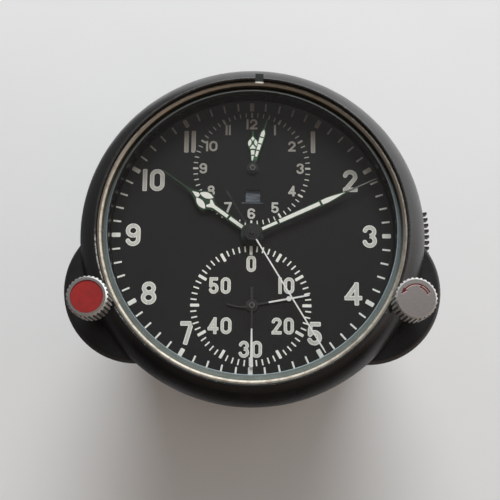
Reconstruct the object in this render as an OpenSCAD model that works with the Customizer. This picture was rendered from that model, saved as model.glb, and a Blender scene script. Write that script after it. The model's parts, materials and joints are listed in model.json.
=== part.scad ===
// Aircraft panel clock: wound movement, flight timer and stopwatch in a round case.
// Sizes are in millimetres. The axis is Z, the dial faces +Z and 12 o'clock is +Y.
// The plane Z = 0 is the seat against the instrument panel.

/* [Dial and glass] */
// Diameter of the dial plate
dial_d = 73; // [72:0.5:77]
// Thickness of the dial plate
dial_t = 0.8; // [0.6:0.1:1.2]
// Space between the dial and the glass
glass_gap = 4.9; // [4.8:0.1:7]
// Thickness of the glass
glass_t = 3.5; // [3.2:0.1:5]
// Height of the bevel around the glass
bevel_h = 2.8; // [1.5:0.1:3]
// Width of the bevel around the glass
bevel_w = 1.6; // [1:0.1:2]
// Thickness of the gasket under the glass
gasket_t = 0.5; // [0.3:0.1:1]
// How far the bezel ledge laps over the dial edge
ledge_lap = 0.9; // [0.6:0.1:1.4]
// Width of the glass seat on the bezel ledge
glass_seat = 1.3; // [1:0.1:1.6]
// Wall of the ring that holds the glass
ring_w = 1; // [0.8:0.05:1.4]
// How far the glass ring stands above the glass
ring_rise = 0.4; // [0.3:0.1:1]

/* [Case and bezel] */
// Wall of the case
case_wall = 1.8; // [1.4:0.1:2.6]
// Length of the case behind the panel seat
case_len = 78; // [66:1:95]
// Height of the front flange above the panel seat
flange_h = 9.5; // [9:0.1:12]
// Width of the flange outside the case
flange_w = 2.2; // [2.2:0.1:4]
// How far the bezel lip stands above the glass
lip_rise = 1.7; // [1.6:0.1:3]
// Width of the flat top of the bezel lip
lip_w = 0.4; // [0.3:0.1:1.4]
// Height of the bezel shoulder above the flange
shoulder_h = 3.2; // [2:0.1:5]
// Radius of the round lobe that carries each knob
ear_r = 18.4; // [16:0.1:20]
// How far each lobe rises above the flange
ear_rise = 1.5; // [1:0.1:2.5]
// Thickness of the rear cover
cover_t = 1.5; // [1.2:0.1:3]

/* [Knobs] */
// Diameter of each knob
knob_d = 9.7; // [8:0.1:10.5]
// Height of each knob
knob_h = 7.2; // [6.5:0.1:9]
// Space between the bezel lip and the underside of the knobs
knob_rise = 1.1; // [0.5:0.1:3]
// Number of ridges around a knob
knob_ridges = 29; // [20:1:36]
// Angle of each knob below the horizontal
knob_angle = 26.1; // [24:0.1:30]
// Diameter of the knob stems
stem_d = 3.6; // [3:0.1:3.8]
// How far a knob can be pressed
press = 1.6; // [1:0.1:1.8]

/* [Lock slide] */
// Number of teeth on the thumb tab of the lock slide
tab_teeth = 8; // [5:1:10]
// Reach of the thumb tab from the axis beyond the bezel edge
tab_reach = 1.8; // [1.5:0.1:3.2]
// Turn of the lock slide in degrees
lock_turn = 18; // [8:1:22]

/* [Movement] */
// Thickness of the movement plates
plate_t = 2.5; // [2:0.1:3]
// Space between the dial and the front plate
motion_h = 3.2; // [3.2:0.1:4.5]
// Thickness of the train wheels
wheel_t = 1; // [0.8:0.1:1.2]
// Tooth size of the barrel and centre pinion
barrel_m = 0.42; // [0.4:0.01:0.44]
// Tooth size of the centre wheel
centre_m = 0.35; // [0.33:0.01:0.36]
// Tooth size of the motion work
motion_m = 0.4; // [0.36:0.01:0.42]
// Distance of the flight timer above the centre
flight_y = 17.5; // [17:0.1:19]
// Distance of the stopwatch below the centre
stop_y = 17.7; // [17:0.1:19]
// Radius of the balance wheel
balance_r = 9; // [7:0.1:9.4]

/* [Hands] */
// Length of the minute hand
minute_len = 34.5; // [30:0.5:35]
// Length of the hour hand
hour_len = 27.9; // [24:0.1:30]
// Length of the sweep second hand
second_len = 34.5; // [30:0.5:35]
// Thickness of the hands
hand_t = 0.25; // [0.2:0.05:0.3]

/* [Hidden] */
$fn = 64;

// Clearances and small shared sizes
run_fit = 0.05;
part_gap = 0.3;
eps = 0.01;
through = 200;

// Radii, worked outwards from the dial
hand_room = 1;
dial_r = max(dial_d / 2, max(minute_len, second_len) + hand_room + ledge_lap);
ledge_r = dial_r - ledge_lap;
glass_r = ledge_r + glass_seat;
ring_lap = 0.35;
ring_in_r = glass_r - ring_lap;
ring_out_r = ring_in_r + ring_w;
bezel_bore_r = ring_out_r + run_fit;
dial_room = 1.7;
bore_r = max(dial_r + dial_room, bezel_bore_r + 0.6);
case_r = bore_r + case_wall;
flange_r = case_r + flange_w;
bezel_over = 0.4;
bezel_r = flange_r + bezel_over;
stem_inset = 0.9;
stem_pos = bezel_r - stem_inset;
stem_r = stem_d / 2;
knob_r = knob_d / 2;
ear_back = 10.3;

// Levels, worked from the panel seat
dial_z = flange_h;
ledge_z0 = dial_z + part_gap;
ledge_z1 = dial_z + glass_gap - gasket_t;
glass_z0 = dial_z + glass_gap;
glass_z1 = glass_z0 + glass_t;
shelf_z = glass_z1 - min(bevel_h, glass_t - 0.3);
ring_z1 = glass_z1 + ring_rise;
lip_z = glass_z1 + lip_rise;
ear_z = flange_h + ear_rise;
dial_bot = dial_z - dial_t;
plate_top = dial_bot - motion_h;
plate_bot = plate_top - plate_t;
layer_gap = 0.5;
barrel_top = plate_bot - 0.6;
barrel_h = 3.3;
barrel_bot = barrel_top - barrel_h;
centre_top = barrel_bot - layer_gap;
centre_bot = centre_top - wheel_t;
third_top = centre_bot - 1.2;
third_bot = third_top - wheel_t;
fourth_top = third_bot - 1.4;
fourth_t = 0.8;
fourth_bot = fourth_top - fourth_t;
rear_top = fourth_bot - 1.7;
rear_bot = rear_top - plate_t;
esc_t = 0.8;
esc_top = rear_bot - 1.6;
esc_bot = esc_top - esc_t;
roller_t = 1;
roller_top = esc_bot - 0.2;
roller_bot = roller_top - roller_t;
esc_cock_t = 1.5;
esc_cock_top = roller_bot - 0.4;
esc_cock_bot = esc_cock_top - esc_cock_t;
rim_t = 1.3;
rim_top = esc_cock_bot - 1.4;
rim_bot = rim_top - rim_t;
hair_h = 0.6;
hair_top = rim_bot - 1.2;
hair_bot = hair_top - hair_h;
cock_t = 2;
cock_top = hair_bot - 1.5;
cock_bot = cock_top - cock_t;
ledge_t = 2;

// Knob levels
knob_z0 = lip_z + knob_rise;
knob_z1 = knob_z0 + knob_h;
bush_top = knob_z0 - press - 0.6;
bush_plate_t = 1.4;
bush_plate_top = flange_h - 0.1;
bush_plate_bot = bush_plate_top - bush_plate_t;
bush_r = stem_r + 1.1;
bush_plate_r = bush_r + 1.6;
pocket_floor = 4;
cavity_h = 3.6;
cavity_r = stem_r + 1.5;
washer_t = 0.5;
washer_top = knob_z0 + cavity_h - 0.1;
washer_bot = washer_top - washer_t;
spring_wire_r = 0.3;
spring_turns = 5;
square_w = 2.2;
grip_len = 2.2;
disc_r = 3.75;
disc_depth = 0.6;

// Tooth counts of the train and the positions that follow from them
barrel_n = 72;
centre_pinion_n = 12;
centre_n = 64;
third_pinion_n = 8;
third_n = 60;
sweep_pinion_n = 8;
fourth_n = 70;
escape_pinion_n = 7;
escape_n = 15;
cannon_n = 12;
minute_n = 36;
minute_pinion_n = 10;
hour_n = 40;
winding_pinion_n = 16;
winding_n = 44;
barrel_angle = 170;
barrel_pos = polar((barrel_n + centre_pinion_n) / 2 * barrel_m, barrel_angle);
third_angle = -20;
third_dist = (centre_n + third_pinion_n) / 2 * centre_m;
third_pos = polar(third_dist, third_angle);
third_m = third_dist * 2 / (third_n + sweep_pinion_n);
fourth_m = 0.3;
escape_angle = -115;
escape_pos = polar((fourth_n + escape_pinion_n) / 2 * fourth_m, escape_angle);
escape_r = 4.6;
lever_angle = -160;
pallet_dist = 5.9;
pallet_pos = escape_pos + polar(pallet_dist, lever_angle);
balance_dist = pallet_dist + 5.7;
balance_pos = escape_pos + polar(balance_dist, lever_angle);
minute_angle = 0;
minute_dist = (cannon_n + minute_n) / 2 * motion_m;
minute_pos = polar(minute_dist, minute_angle);
hour_m = minute_dist * 2 / (minute_pinion_n + hour_n);
left_pos = polar(stem_pos, 180 + knob_angle);
right_pos = polar(stem_pos, -knob_angle);
winding_span = norm(barrel_pos - left_pos);
winding_angle = atan2(barrel_pos.y - left_pos.y, barrel_pos.x - left_pos.x);
winding_m = winding_span / (winding_pinion_n / 2 + winding_n + winding_n / 2);
winding_pos = left_pos + polar((winding_pinion_n + winding_n) / 2 * winding_m, winding_angle);
winding_z0 = plate_top + 0.6;
winding_t = 0.8;
winding_turn = in_mesh(winding_angle, 0, winding_pinion_n, winding_n);
flight_pos = [0, flight_y];
stop_pos = [0, -stop_y];
window_size = [3.7, 3.2];
window_pos = [0.1, flight_y - 7.2];
state_r = 8.05;
state_pos = window_pos + [5.9, 0];
state_t = 0.3;
esc_foot = escape_pos + polar(-8, lever_angle);
cock_foot = balance_pos + polar(balance_r + 3.5, 160);
pillar_pos = [[22, 20.5], [-12, 28], [26, -15], [-21, -21]];
pillar_r = 2.2;
stud_r = 1.2;
post_r = 0.8;
sweep_r = 0.55;
centre_r = 1.3;
cannon_r = 1.75;
hour_pipe_r = 2.15;
hour_wheel_z = plate_top + 1.8;
pivot_r = 0.6;
arbor_r = 1.2;
hub_r = 2.9;
drum_r = barrel_n / 2 * barrel_m - 0.8;
drum_wall = 1;
drum_floor = 0.5;
escape_pivot_r = 0.5;
pallet_pivot_r = 0.45;
staff_r = 0.6;
collet_r = 1.1;
cock_screw_r = 0.8;
head_r = 1.5;
head_h = 1.1;
slot_w = 0.4;
slot_depth = 0.4;
esc_bar_r = 1.5;
esc_foot_r = 2.4;
cock_bar_r = 2.4;
cock_foot_r = 2.8;
foot_lap = 0.5;
counter_r = 0.5;
counter_pipe_r = 1;
state_pivot_r = 0.6;
foot_angles = [60, 135, 285];
foot_r = 1;
foot_pos_r = dial_r - 3.5;
movement_angles = [20, 110, 265];
movement_pos_r = dial_r - 1.3;
grub_angles = [100, 160, 250, 290];
grub_r = 1;
cover_angles = [45, 135, 225, 315];
boss_r = 3.4;
boss_pos_r = bore_r - boss_r;
screw_r = 1.2;

// Hand levels above the dial
lower_hand_z = dial_z + 0.35;
upper_hand_z = dial_z + 0.75;
hour_z = dial_z + 1.45;
minute_z = dial_z + 2.4;
second_z = dial_z + 3.4;
hand_cap = 0.6;
stop_len = stop_y - hour_pipe_r - 0.35;

// Rear cover and heater inlet
gasket_rear_t = 0.5;
cover_top = -case_len - gasket_rear_t;
cover_bot = cover_top - cover_t;
socket_pos = [0, -14];
socket_r = 7.5;
socket_wall = 1.5;
socket_depth = 14;
insert_t = 3;
pin_r = 1.1;
pin_gap = 6;
pin_len = 6;
thermostat_pos = [19, 10];
thermostat_r = 6;
thermostat_h = 9;

// Lock slide
slide_in_r = bore_r + 1.5;
slide_out_r = slide_in_r + min(1.5, flange_r - slide_in_r - 1);
slide_floor = flange_h - 3.1;
slide_z0 = slide_floor + 0.2;
slide_z1 = flange_h - part_gap;
tab_pitch = 1.92;
tab_low = -6.25;
tab_high = tab_low + tab_pitch * tab_teeth + 0.3;
slide_high = 40;
tab_root_r = flange_r - 0.8;
tab_r = bezel_r + tab_reach;

// Point at a radius and an angle from the X axis
function polar(r, a) = r * [cos(a), sin(a)];

// Points along a circular arc
function arc(c, r, a0, a1, n) = [for (i = [0:n]) c + polar(r, a0 + (a1 - a0) * i / n)];

// Outline of a toothed wheel
function tooth_outline(n, m) = let (
  p = 360 / n,
  tip = n * m / 2 + 0.75 * m,
  root = n * m / 2 - 1.15 * m
) [for (i = [0:n - 1], q = [[root, -0.31], [tip, -0.11], [tip, 0.11], [root, 0.31]])
  polar(q[0], (i + q[1]) * p)];

// Turn that puts the second wheel in mesh with the first, which lies at angle + 180 from it
function in_mesh(angle, turn_a, n_a, n_b) = angle + 180 - (turn_a - angle) * n_a / n_b + 180 / n_b;

// Outline of a flat spiral band
function spiral_outline(r0, r1, turns, band, steps) = let (
  n = turns * steps,
  r = function(i) r0 + (r1 - r0) * i / n
) concat(
  [for (i = [0:n]) polar(r(i), 360 * i / steps)],
  [for (i = [n:-1:0]) polar(r(i) + band, 360 * i / steps)]
);

// Outline mirrored about the X axis from its upper half
function mirrored(half) = concat(half, [for (i = [len(half) - 1:-1:0]) [half[i].x, -half[i].y]]);

module at(p, z = 0) {
  translate([p.x, p.y, z]) children();
}

module rod(r, z0, z1) {
  translate([0, 0, z0]) cylinder(r = r, h = z1 - z0);
}

module tube(r_in, r_out, z0, z1) {
  difference() {
    rod(r_out, z0, z1);
    rod(r_in, z0 - 1, z1 + 1);
  }
}

module gear(n, m, z0, h, turn = 0) {
  translate([0, 0, z0]) rotate(turn) linear_extrude(h) polygon(tooth_outline(n, m));
}

// Cut for a screwdriver across a head whose face is at height z
module screw_slot(z) {
  translate([0, 0, z]) cube([3 * head_r, slot_w, 2 * slot_depth], center = true);
}

// Ring sector between two angles
module sector(r_in, r_out, z0, z1, a0, a1) {
  rotate([0, 0, a0]) rotate_extrude(angle = a1 - a0)
    polygon([[r_in, z0], [r_out, z0], [r_out, z1], [r_in, z1]]);
}

// Helical spring, one unbroken tube of six sides
module coil(r, wire, z0, z1, turns) {
  ring_steps = 12;
  sides = 6;
  n = turns * ring_steps;
  rise = (z1 - z0 - 2 * wire) / n;
  points = [for (i = [0:n], s = [0:sides - 1]) let (
    t = 360 * i / ring_steps,
    q = r + wire * cos(360 * s / sides)
  ) [q * cos(t), q * sin(t), z0 + wire + rise * i + wire * sin(360 * s / sides)]];
  sides_faces = [for (i = [0:n - 1], s = [0:sides - 1]) let (
    a = i * sides + s,
    b = i * sides + (s + 1) % sides
  ) each [[a, b, a + sides], [b, b + sides, a + sides]]];
  start_cap = [for (s = [1:sides - 2]) [0, s + 1, s]];
  end_cap = [for (s = [1:sides - 2]) [n * sides, n * sides + s, n * sides + s + 1]];
  polyhedron(points, concat(sides_faces, start_cap, end_cap));
}

// Room that the winding gears need in the case wall and the bezel skirt
module winding_room() {
  tip_r = (winding_n / 2 + 0.75) * winding_m + 0.4;
  at(winding_pos) rod(tip_r, winding_z0 - 0.4, winding_z0 + winding_t + 0.4);
}

// Case with its flange and two lobes

module ear(side) {
  centre = polar(stem_pos - ear_back, -knob_angle);
  edge = 1.2;
  draft = 1;
  translate([side * centre.x, centre.y, 0]) rotate_extrude()
    polygon(concat([[0, 0], [ear_r - draft, 0]], arc([ear_r - edge, ear_z - edge], edge, 0, 90, 6), [[0, ear_z]]));
}

module stem_pocket(p) {
  at(p) rod(bush_plate_r - 0.4, pocket_floor, flange_h + eps);
  at(p) rod(bush_plate_r + run_fit, bush_plate_bot, flange_h + eps);
  at(p) rod(stem_r + 0.2, pocket_floor - press - 0.5, pocket_floor + eps);
  at(p) rod(bush_r + 0.3, flange_h - eps, ear_z + 1);
}

module slide_groove() {
  groove_low = tab_low - 0.6;
  groove_high = slide_high + lock_turn + 2;
  side = 0.15;
  window_high = tab_high + lock_turn + 1;
  sector(slide_in_r - side, slide_out_r + side, slide_floor, flange_h + 1, groove_low, groove_high);
  sector(slide_in_r, tab_r + 4, slide_floor - 0.1, flange_h + 0.2, groove_low - 0.2, window_high);
}

module case_body() {
  color("#1b1b1d") difference() {
    union() {
      rod(flange_r, 0, flange_h);
      rod(case_r, -case_len, eps);
      ear(1);
      ear(-1);
    }
    rod(bore_r, plate_bot, through);
    rod(bore_r, -through, plate_bot - ledge_t);
    rod(movement_pos_r - 1.7, -through, through);
    rod(bezel_r + 0.15, flange_h, through);
    slide_groove();
    stem_pocket(left_pos);
    stem_pocket(right_pos);
    winding_room();
    for (a = movement_angles) at(polar(movement_pos_r, a)) rod(screw_r - 0.3 + run_fit, -through, through);
    for (a = grub_angles) grub(a, run_fit);
  }
  color("#1b1b1d") for (a = cover_angles) rear_boss(a);
}

module rear_boss(a) {
  difference() {
    intersection() {
      at(polar(boss_pos_r + 0.6, a)) rod(boss_r, cover_top + run_fit, -case_len + 9);
      rod(bore_r + case_wall / 2, cover_top, 0);
    }
    at(polar(boss_pos_r, a)) rod(screw_r + run_fit, cover_top - 1, -case_len + 7);
    tube(bore_r, bore_r + case_wall, cover_top - 1, -case_len);
  }
}

// Bezel, glass and dial

module bezel_profile() {
  edge = 0.25;
  skirt_z = plate_top + 0.2;
  skirt_r = bore_r - run_fit;
  slope_a = [bezel_bore_r + lip_w, lip_z];
  slope_b = [bezel_r, flange_h + shoulder_h];
  bulge = 0.45;
  slope = [for (i = [0:8]) let (
    t = i / 8,
    p = slope_a * (1 - t) + slope_b * t
  ) p + bulge * 4 * t * (1 - t) * [0.86, 0.51]];
  polygon(concat(
    [[skirt_r - 1.1, skirt_z], [skirt_r - 1.1, ledge_z0], [ledge_r, ledge_z0], [ledge_r, ledge_z1]],
    [[bezel_bore_r, ledge_z1]],
    arc([bezel_bore_r + edge, lip_z - edge], edge, 180, 90, 4),
    slope,
    [[bezel_r, flange_h], [skirt_r, flange_h], [skirt_r, skirt_z]]
  ));
}

module bezel_notch() {
  notch_w = 2;
  notch_x = 1.6;
  notch_depth = 2.1;
  translate([notch_x - notch_w / 2, 0, lip_z - notch_depth]) cube([notch_w, through, through]);
}

module bezel() {
  color("#202022") difference() {
    rotate_extrude($fn = 128) bezel_profile();
    for (p = [left_pos, right_pos]) {
      at(p) rod(bush_r + 0.3, flange_h - eps, through);
      at(p) rod(bush_plate_r + 0.4, 0, flange_h);
      at(p) rod(knob_r + 0.5, knob_z0 - press - part_gap, through);
    }
    winding_room();
    bezel_notch();
    for (a = grub_angles) grub(a, run_fit);
  }
}

module grub(a, extra) {
  grub_z = (plate_top + flange_h) / 2 + 0.2;
  grub_in = dial_r + 0.8;
  rotate(a) translate([grub_in, 0, grub_z]) rotate([0, 90, 0])
    cylinder(r = grub_r + extra, h = flange_r - 0.2 - grub_in);
}

module bezel_grub_screws() {
  color("#77736c") for (a = grub_angles) grub(a, 0);
}

module glass() {
  color("#9fb0a8", 0.35) rotate_extrude($fn = 128)
    polygon([[0, glass_z0], [glass_r, glass_z0], [glass_r, shelf_z],
      [glass_r - bevel_w, glass_z1], [0, glass_z1]]);
}

module glass_gasket() {
  color("#151515") tube(ledge_r + 0.1, glass_r, ledge_z1, glass_z0);
}

module glass_ring() {
  edge = 0.1;
  slope_w = 0.5;
  slope_h = 0.4;
  inner_r = glass_r + run_fit;
  contact_z = shelf_z + (inner_r - ring_in_r) / bevel_w * (glass_z1 - shelf_z);
  color("#b3a58f") rotate_extrude($fn = 128) polygon([
    [inner_r, glass_z0], [ring_out_r, glass_z0], [ring_out_r, ring_z1 - edge], [ring_out_r - edge, ring_z1],
    [ring_in_r + slope_w, ring_z1], [ring_in_r, ring_z1 - slope_h], [ring_in_r, contact_z], [inner_r, shelf_z]
  ]);
}

module dial() {
  color("#2b2b2d") difference() {
    union() {
      rod(dial_r, dial_bot, dial_z);
      for (a = foot_angles) at(polar(foot_pos_r, a)) rod(foot_r, plate_top - 1.5, dial_bot + eps);
    }
    rod(hour_pipe_r + 0.35, -through, through);
    for (p = [flight_pos, stop_pos]) at(p) rod(counter_pipe_r + 0.35, -through, through);
    translate([window_pos.x, window_pos.y, dial_z]) cube([window_size.x, window_size.y, 4], center = true);
  }
}

// Movement frame

module front_plate() {
  color("#a8925a") difference() {
    union() {
      rod(bore_r - part_gap, plate_bot, plate_top);
      at(minute_pos) rod(post_r, plate_top - eps, dial_bot - part_gap);
      at(winding_pos) rod(post_r, plate_top - eps, winding_z0 + winding_t + 0.4);
    }
    rod(centre_r + run_fit, -through, through);
    at(third_pos) rod(pivot_r + run_fit, -through, through);
    at(barrel_pos) rod(arbor_r + run_fit, -through, through);
    for (p = [flight_pos, stop_pos]) at(p) rod(counter_r + run_fit, -through, through);
    at(state_pos) rod(state_pivot_r + run_fit, -through, through);
    for (p = pillar_pos) at(p) rod(stud_r + run_fit, -through, through);
    for (a = foot_angles) at(polar(foot_pos_r, a)) rod(foot_r + run_fit, -through, through);
    for (a = movement_angles) at(polar(movement_pos_r, a)) rod(screw_r - 0.3 + run_fit, -through, through);
    for (p = [left_pos, right_pos]) at(p) rod(bush_plate_r, -through, through);
  }
}

module rear_plate() {
  color("#a8925a") difference() {
    rod(dial_r - 1.5, rear_bot, rear_top);
    rod(sweep_r + run_fit, -through, through);
    at(third_pos) rod(pivot_r + run_fit, -through, through);
    at(barrel_pos) rod(arbor_r + run_fit, -through, through);
    at(escape_pos) rod(escape_pivot_r + run_fit, -through, through);
    at(pallet_pos) rod(pallet_pivot_r + run_fit, -through, through);
    at(balance_pos) rod(staff_r + run_fit, -through, through);
    for (p = pillar_pos) at(p) rod(stud_r + run_fit, -through, through);
    for (p = [esc_foot, cock_foot]) at(p) rod(cock_screw_r + run_fit, -through, through);
  }
}

module plate_pillars() {
  color("#c0b38c") for (p = pillar_pos) at(p) {
    rod(pillar_r, rear_top, plate_bot);
    rod(stud_r, rear_bot - 1.8, plate_top - 0.2);
  }
}

module pillar_nuts() {
  nut_t = 1.6;
  color("#8f8f92") for (p = pillar_pos) at(p) difference() {
    translate([0, 0, rear_bot - nut_t]) cylinder(r = pillar_r + 0.4, h = nut_t, $fn = 6);
    rod(stud_r + run_fit, rear_bot - nut_t - 1, rear_bot + 1);
  }
}

module movement_screws() {
  color("#8f8f92") for (a = movement_angles) at(polar(movement_pos_r, a)) {
    rod(screw_r - 0.3, plate_bot - ledge_t + 0.2, plate_top + eps);
    difference() {
      rod(head_r, plate_top, plate_top + head_h);
      screw_slot(plate_top + head_h);
    }
  }
}

// Flat bar between two points with round ends
module bar(p, q, r, z0, z1) {
  along = atan2(q.y - p.y, q.x - p.x);
  translate([0, 0, z0]) linear_extrude(z1 - z0)
    polygon(concat(arc(q, r, along - 90, along + 90, 16), arc(p, r, along + 90, along + 270, 16)));
}

module escape_cock() {
  color("#b59a5c") difference() {
    union() {
      bar(esc_foot, pallet_pos, esc_bar_r, esc_cock_bot, esc_cock_top);
      at(esc_foot) rod(esc_foot_r, esc_cock_bot + foot_lap, rear_bot);
    }
    at(esc_foot) rod(cock_screw_r + run_fit, -through, through);
    at(escape_pos) rod(escape_pivot_r + run_fit, -through, through);
    at(pallet_pos) rod(pallet_pivot_r + run_fit, -through, through);
  }
}

module balance_cock() {
  color("#b59a5c") difference() {
    union() {
      bar(cock_foot, balance_pos, cock_bar_r, cock_bot, cock_top);
      at(cock_foot) rod(cock_foot_r, cock_bot + foot_lap, rear_bot);
    }
    at(cock_foot) rod(cock_screw_r + run_fit, -through, through);
    at(balance_pos) rod(staff_r + run_fit, -through, through);
  }
}

module cock_screw(p, z) {
  at(p) {
    rod(cock_screw_r, z - eps, rear_top - 0.4);
    difference() {
      rod(head_r, z - head_h, z);
      screw_slot(z - head_h);
    }
  }
}

module cock_screws() {
  color("#7d8fa6") {
    cock_screw(esc_foot, esc_cock_bot);
    cock_screw(cock_foot, cock_bot);
  }
}

// Stem bushes and springs

module bush(p) {
  at(p) difference() {
    union() {
      rod(bush_plate_r, bush_plate_bot, bush_plate_top);
      rod(bush_r, bush_plate_bot, bush_top);
    }
    rod(stem_r + run_fit, -through, through);
  }
}

module stem_bushes() {
  color("#8d8a83") for (p = [left_pos, right_pos]) bush(p);
}

module return_spring(p) {
  at(p) coil((stem_r + cavity_r) / 2, spring_wire_r, bush_top, washer_bot, spring_turns);
}

module left_spring() {
  color("#9c9c9c") return_spring(left_pos);
}

module right_spring() {
  color("#9c9c9c") return_spring(right_pos);
}

// Heater, rear cover and inlet

module heater_sleeve() {
  color("#7a5a3a") tube(bore_r - 0.7, bore_r - 0.1, -case_len + 12, plate_bot - ledge_t - 1);
}

module thermostat() {
  color("#b8b8b0") at(thermostat_pos) {
    rod(thermostat_r, cover_top, cover_top + thermostat_h);
    rod(thermostat_r - 2, cover_top + thermostat_h, cover_top + thermostat_h + 1.2);
  }
}

module rear_gasket() {
  color("#151515") tube(bore_r, case_r - 0.3, cover_top, -case_len);
}

module rear_cover() {
  color("#242426") difference() {
    union() {
      rod(case_r - 0.3, cover_bot, cover_top);
      at(socket_pos) rod(socket_r + socket_wall, cover_bot, cover_bot + socket_depth + socket_wall);
    }
    at(socket_pos) rod(socket_r, cover_bot - 1, cover_bot + socket_depth);
    for (a = cover_angles) at(polar(boss_pos_r, a)) {
      rod(screw_r + run_fit, -through, through);
      translate([0, 0, cover_bot - eps]) cylinder(r1 = 2.65, r2 = screw_r + run_fit, h = cover_t + eps);
    }
  }
}

module rear_cover_screws() {
  color("#8f8f92") for (a = cover_angles) at(polar(boss_pos_r, a)) difference() {
    union() {
      translate([0, 0, cover_bot]) cylinder(r1 = 2.55, r2 = screw_r, h = cover_t);
      rod(screw_r, cover_bot + 0.5, -case_len + 6);
    }
    translate([0, 0, cover_bot]) cube([6, 0.5, 0.9], center = true);
  }
}

module connector_insert() {
  top = cover_bot + socket_depth;
  color("#5b3b22") at(socket_pos) difference() {
    rod(socket_r - run_fit, top - insert_t, top);
    for (s = [-1, 1]) translate([s * pin_gap / 2, 0, 0]) rod(pin_r + 0.02, -through, through);
  }
}

module connector_pins() {
  top = cover_bot + socket_depth;
  color("#c8b273") at(socket_pos) for (s = [-1, 1]) translate([s * pin_gap / 2, 0, 0])
    rod(pin_r, top - insert_t - pin_len, top);
}

// Lock slide with its toothed thumb tab

// Outline of the thumb tab's teeth, from the last tooth to the first
function tab_outline() = let (tooth_w = 0.75) [for (i = [tab_teeth - 1:-1:0])
  let (a = tab_low + 0.3 + i * tab_pitch)
  each [polar(tab_root_r, a + tooth_w), polar(tab_r, a + tooth_w), polar(tab_r, a), polar(tab_root_r, a)]];

module lock_slide() {
  color("#2a2826") translate([0, 0, slide_z0]) linear_extrude(slide_z1 - slide_z0) polygon(concat(
    arc([0, 0], slide_in_r, tab_low, slide_high, 24),
    arc([0, 0], slide_out_r, slide_high, tab_high, 16),
    [polar(tab_root_r, tab_high)],
    tab_outline(),
    [polar(tab_root_r, tab_low)]
  ));
}

// Going train

module sweep_arbor() {
  mesh_turn = in_mesh(third_angle + 180, 0, third_n, sweep_pinion_n);
  color("#c9c9c4") {
    rod(sweep_r, rear_bot + 0.4, second_z + hand_t + hand_cap);
    gear(sweep_pinion_n, third_m, third_bot - 0.3, wheel_t + 0.6, mesh_turn);
  }
  color("#b59a5c") gear(fourth_n, fourth_m, fourth_bot, fourth_t);
}

module centre_arbor() {
  mesh_turn = in_mesh(barrel_angle + 180, 0, barrel_n, centre_pinion_n);
  color("#c9c9c4") difference() {
    union() {
      rod(centre_r, centre_bot - 0.6, minute_z - 0.4);
      gear(centre_pinion_n, barrel_m, barrel_top - 1.4, 1.4, mesh_turn);
      gear(centre_n, centre_m, centre_bot, wheel_t);
    }
    rod(sweep_r + run_fit, -through, through);
  }
}

module third_wheel() {
  mesh_turn = in_mesh(third_angle, 0, centre_n, third_pinion_n);
  color("#b59a5c") at(third_pos) {
    rod(pivot_r, rear_bot + 0.4, plate_bot + 1.5);
    gear(third_pinion_n, centre_m, centre_bot - 0.3, wheel_t + 0.6, mesh_turn);
    gear(third_n, third_m, third_bot, wheel_t);
  }
}

module barrel() {
  color("#b59a5c") at(barrel_pos) difference() {
    union() {
      rod(drum_r, barrel_bot, barrel_top);
      gear(barrel_n, barrel_m, barrel_top - 1.2, wheel_t);
    }
    rod(drum_r - drum_wall, barrel_bot + drum_floor, barrel_top + 1);
    rod(arbor_r + run_fit, barrel_bot - 1, barrel_top + 1);
  }
}

module mainspring() {
  turns = 8;
  band = 0.4;
  color("#6f7a88") at(barrel_pos, barrel_bot + drum_floor + 0.2)
    linear_extrude(barrel_h - drum_floor - 0.6)
      polygon(spiral_outline(hub_r + part_gap, drum_r - drum_wall - band - 0.2, turns, band, 20));
}

module barrel_arbor() {
  mesh_turn = in_mesh(winding_angle, winding_turn, winding_n, winding_n);
  color("#9a9a98") at(barrel_pos) {
    rod(arbor_r, rear_bot + 0.4, winding_z0 + winding_t + 0.5);
    rod(hub_r, barrel_bot + drum_floor + 0.2, barrel_top - 0.2);
    gear(winding_n, winding_m, winding_z0, winding_t, mesh_turn);
  }
}

// Escapement

module escape_wheel() {
  pitch = 360 / escape_n;
  root = escape_r * 0.76;
  mesh_turn = in_mesh(escape_angle, 0, fourth_n, escape_pinion_n);
  outline = [for (i = [0:escape_n - 1], q = [[escape_r, 0], [root, 0.25], [root, 0.7]])
    polar(q[0], (i + q[1]) * pitch)];
  color("#c2a560") at(escape_pos) {
    rod(escape_pivot_r, esc_cock_bot + 0.4, fourth_bot + fourth_t + 0.5);
    gear(escape_pinion_n, fourth_m, fourth_bot - 0.3, fourth_t + 0.6, mesh_turn);
    translate([0, 0, esc_bot]) linear_extrude(esc_t) polygon(outline);
  }
}

module pallet_fork() {
  band_in = escape_r + 0.6;
  band_out = pallet_dist + 0.6;
  half_span = 40;
  fork_len = balance_dist - pallet_dist - staff_r - 0.5;
  color("#b9b9b4") {
    at(escape_pos)
      sector(band_in, band_out, esc_bot, esc_top, lever_angle - half_span, lever_angle + half_span);
    at(pallet_pos) rod(pallet_pivot_r, esc_cock_bot + 0.4, rear_top - 0.4);
    at(pallet_pos) rod(pallet_pivot_r + 0.4, esc_bot, esc_top);
    at(pallet_pos) rotate(lever_angle) translate([0, -0.4, esc_bot]) cube([fork_len, 0.8, esc_t]);
  }
}

module balance_wheel() {
  rim_w = 1.4;
  arm_w = 1.2;
  color("#c2a560") at(balance_pos) {
    tube(balance_r - rim_w, balance_r, rim_bot, rim_top);
    translate([-balance_r + rim_w / 2, -arm_w / 2, rim_bot + 0.2])
      cube([2 * balance_r - rim_w, arm_w, rim_t - 0.4]);
    rod(staff_r, cock_bot + 0.4, rear_top - 0.4);
    rod(1.3, roller_bot, roller_top);
    rod(collet_r, hair_bot - 0.2, rim_bot + 0.2);
  }
}

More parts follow.
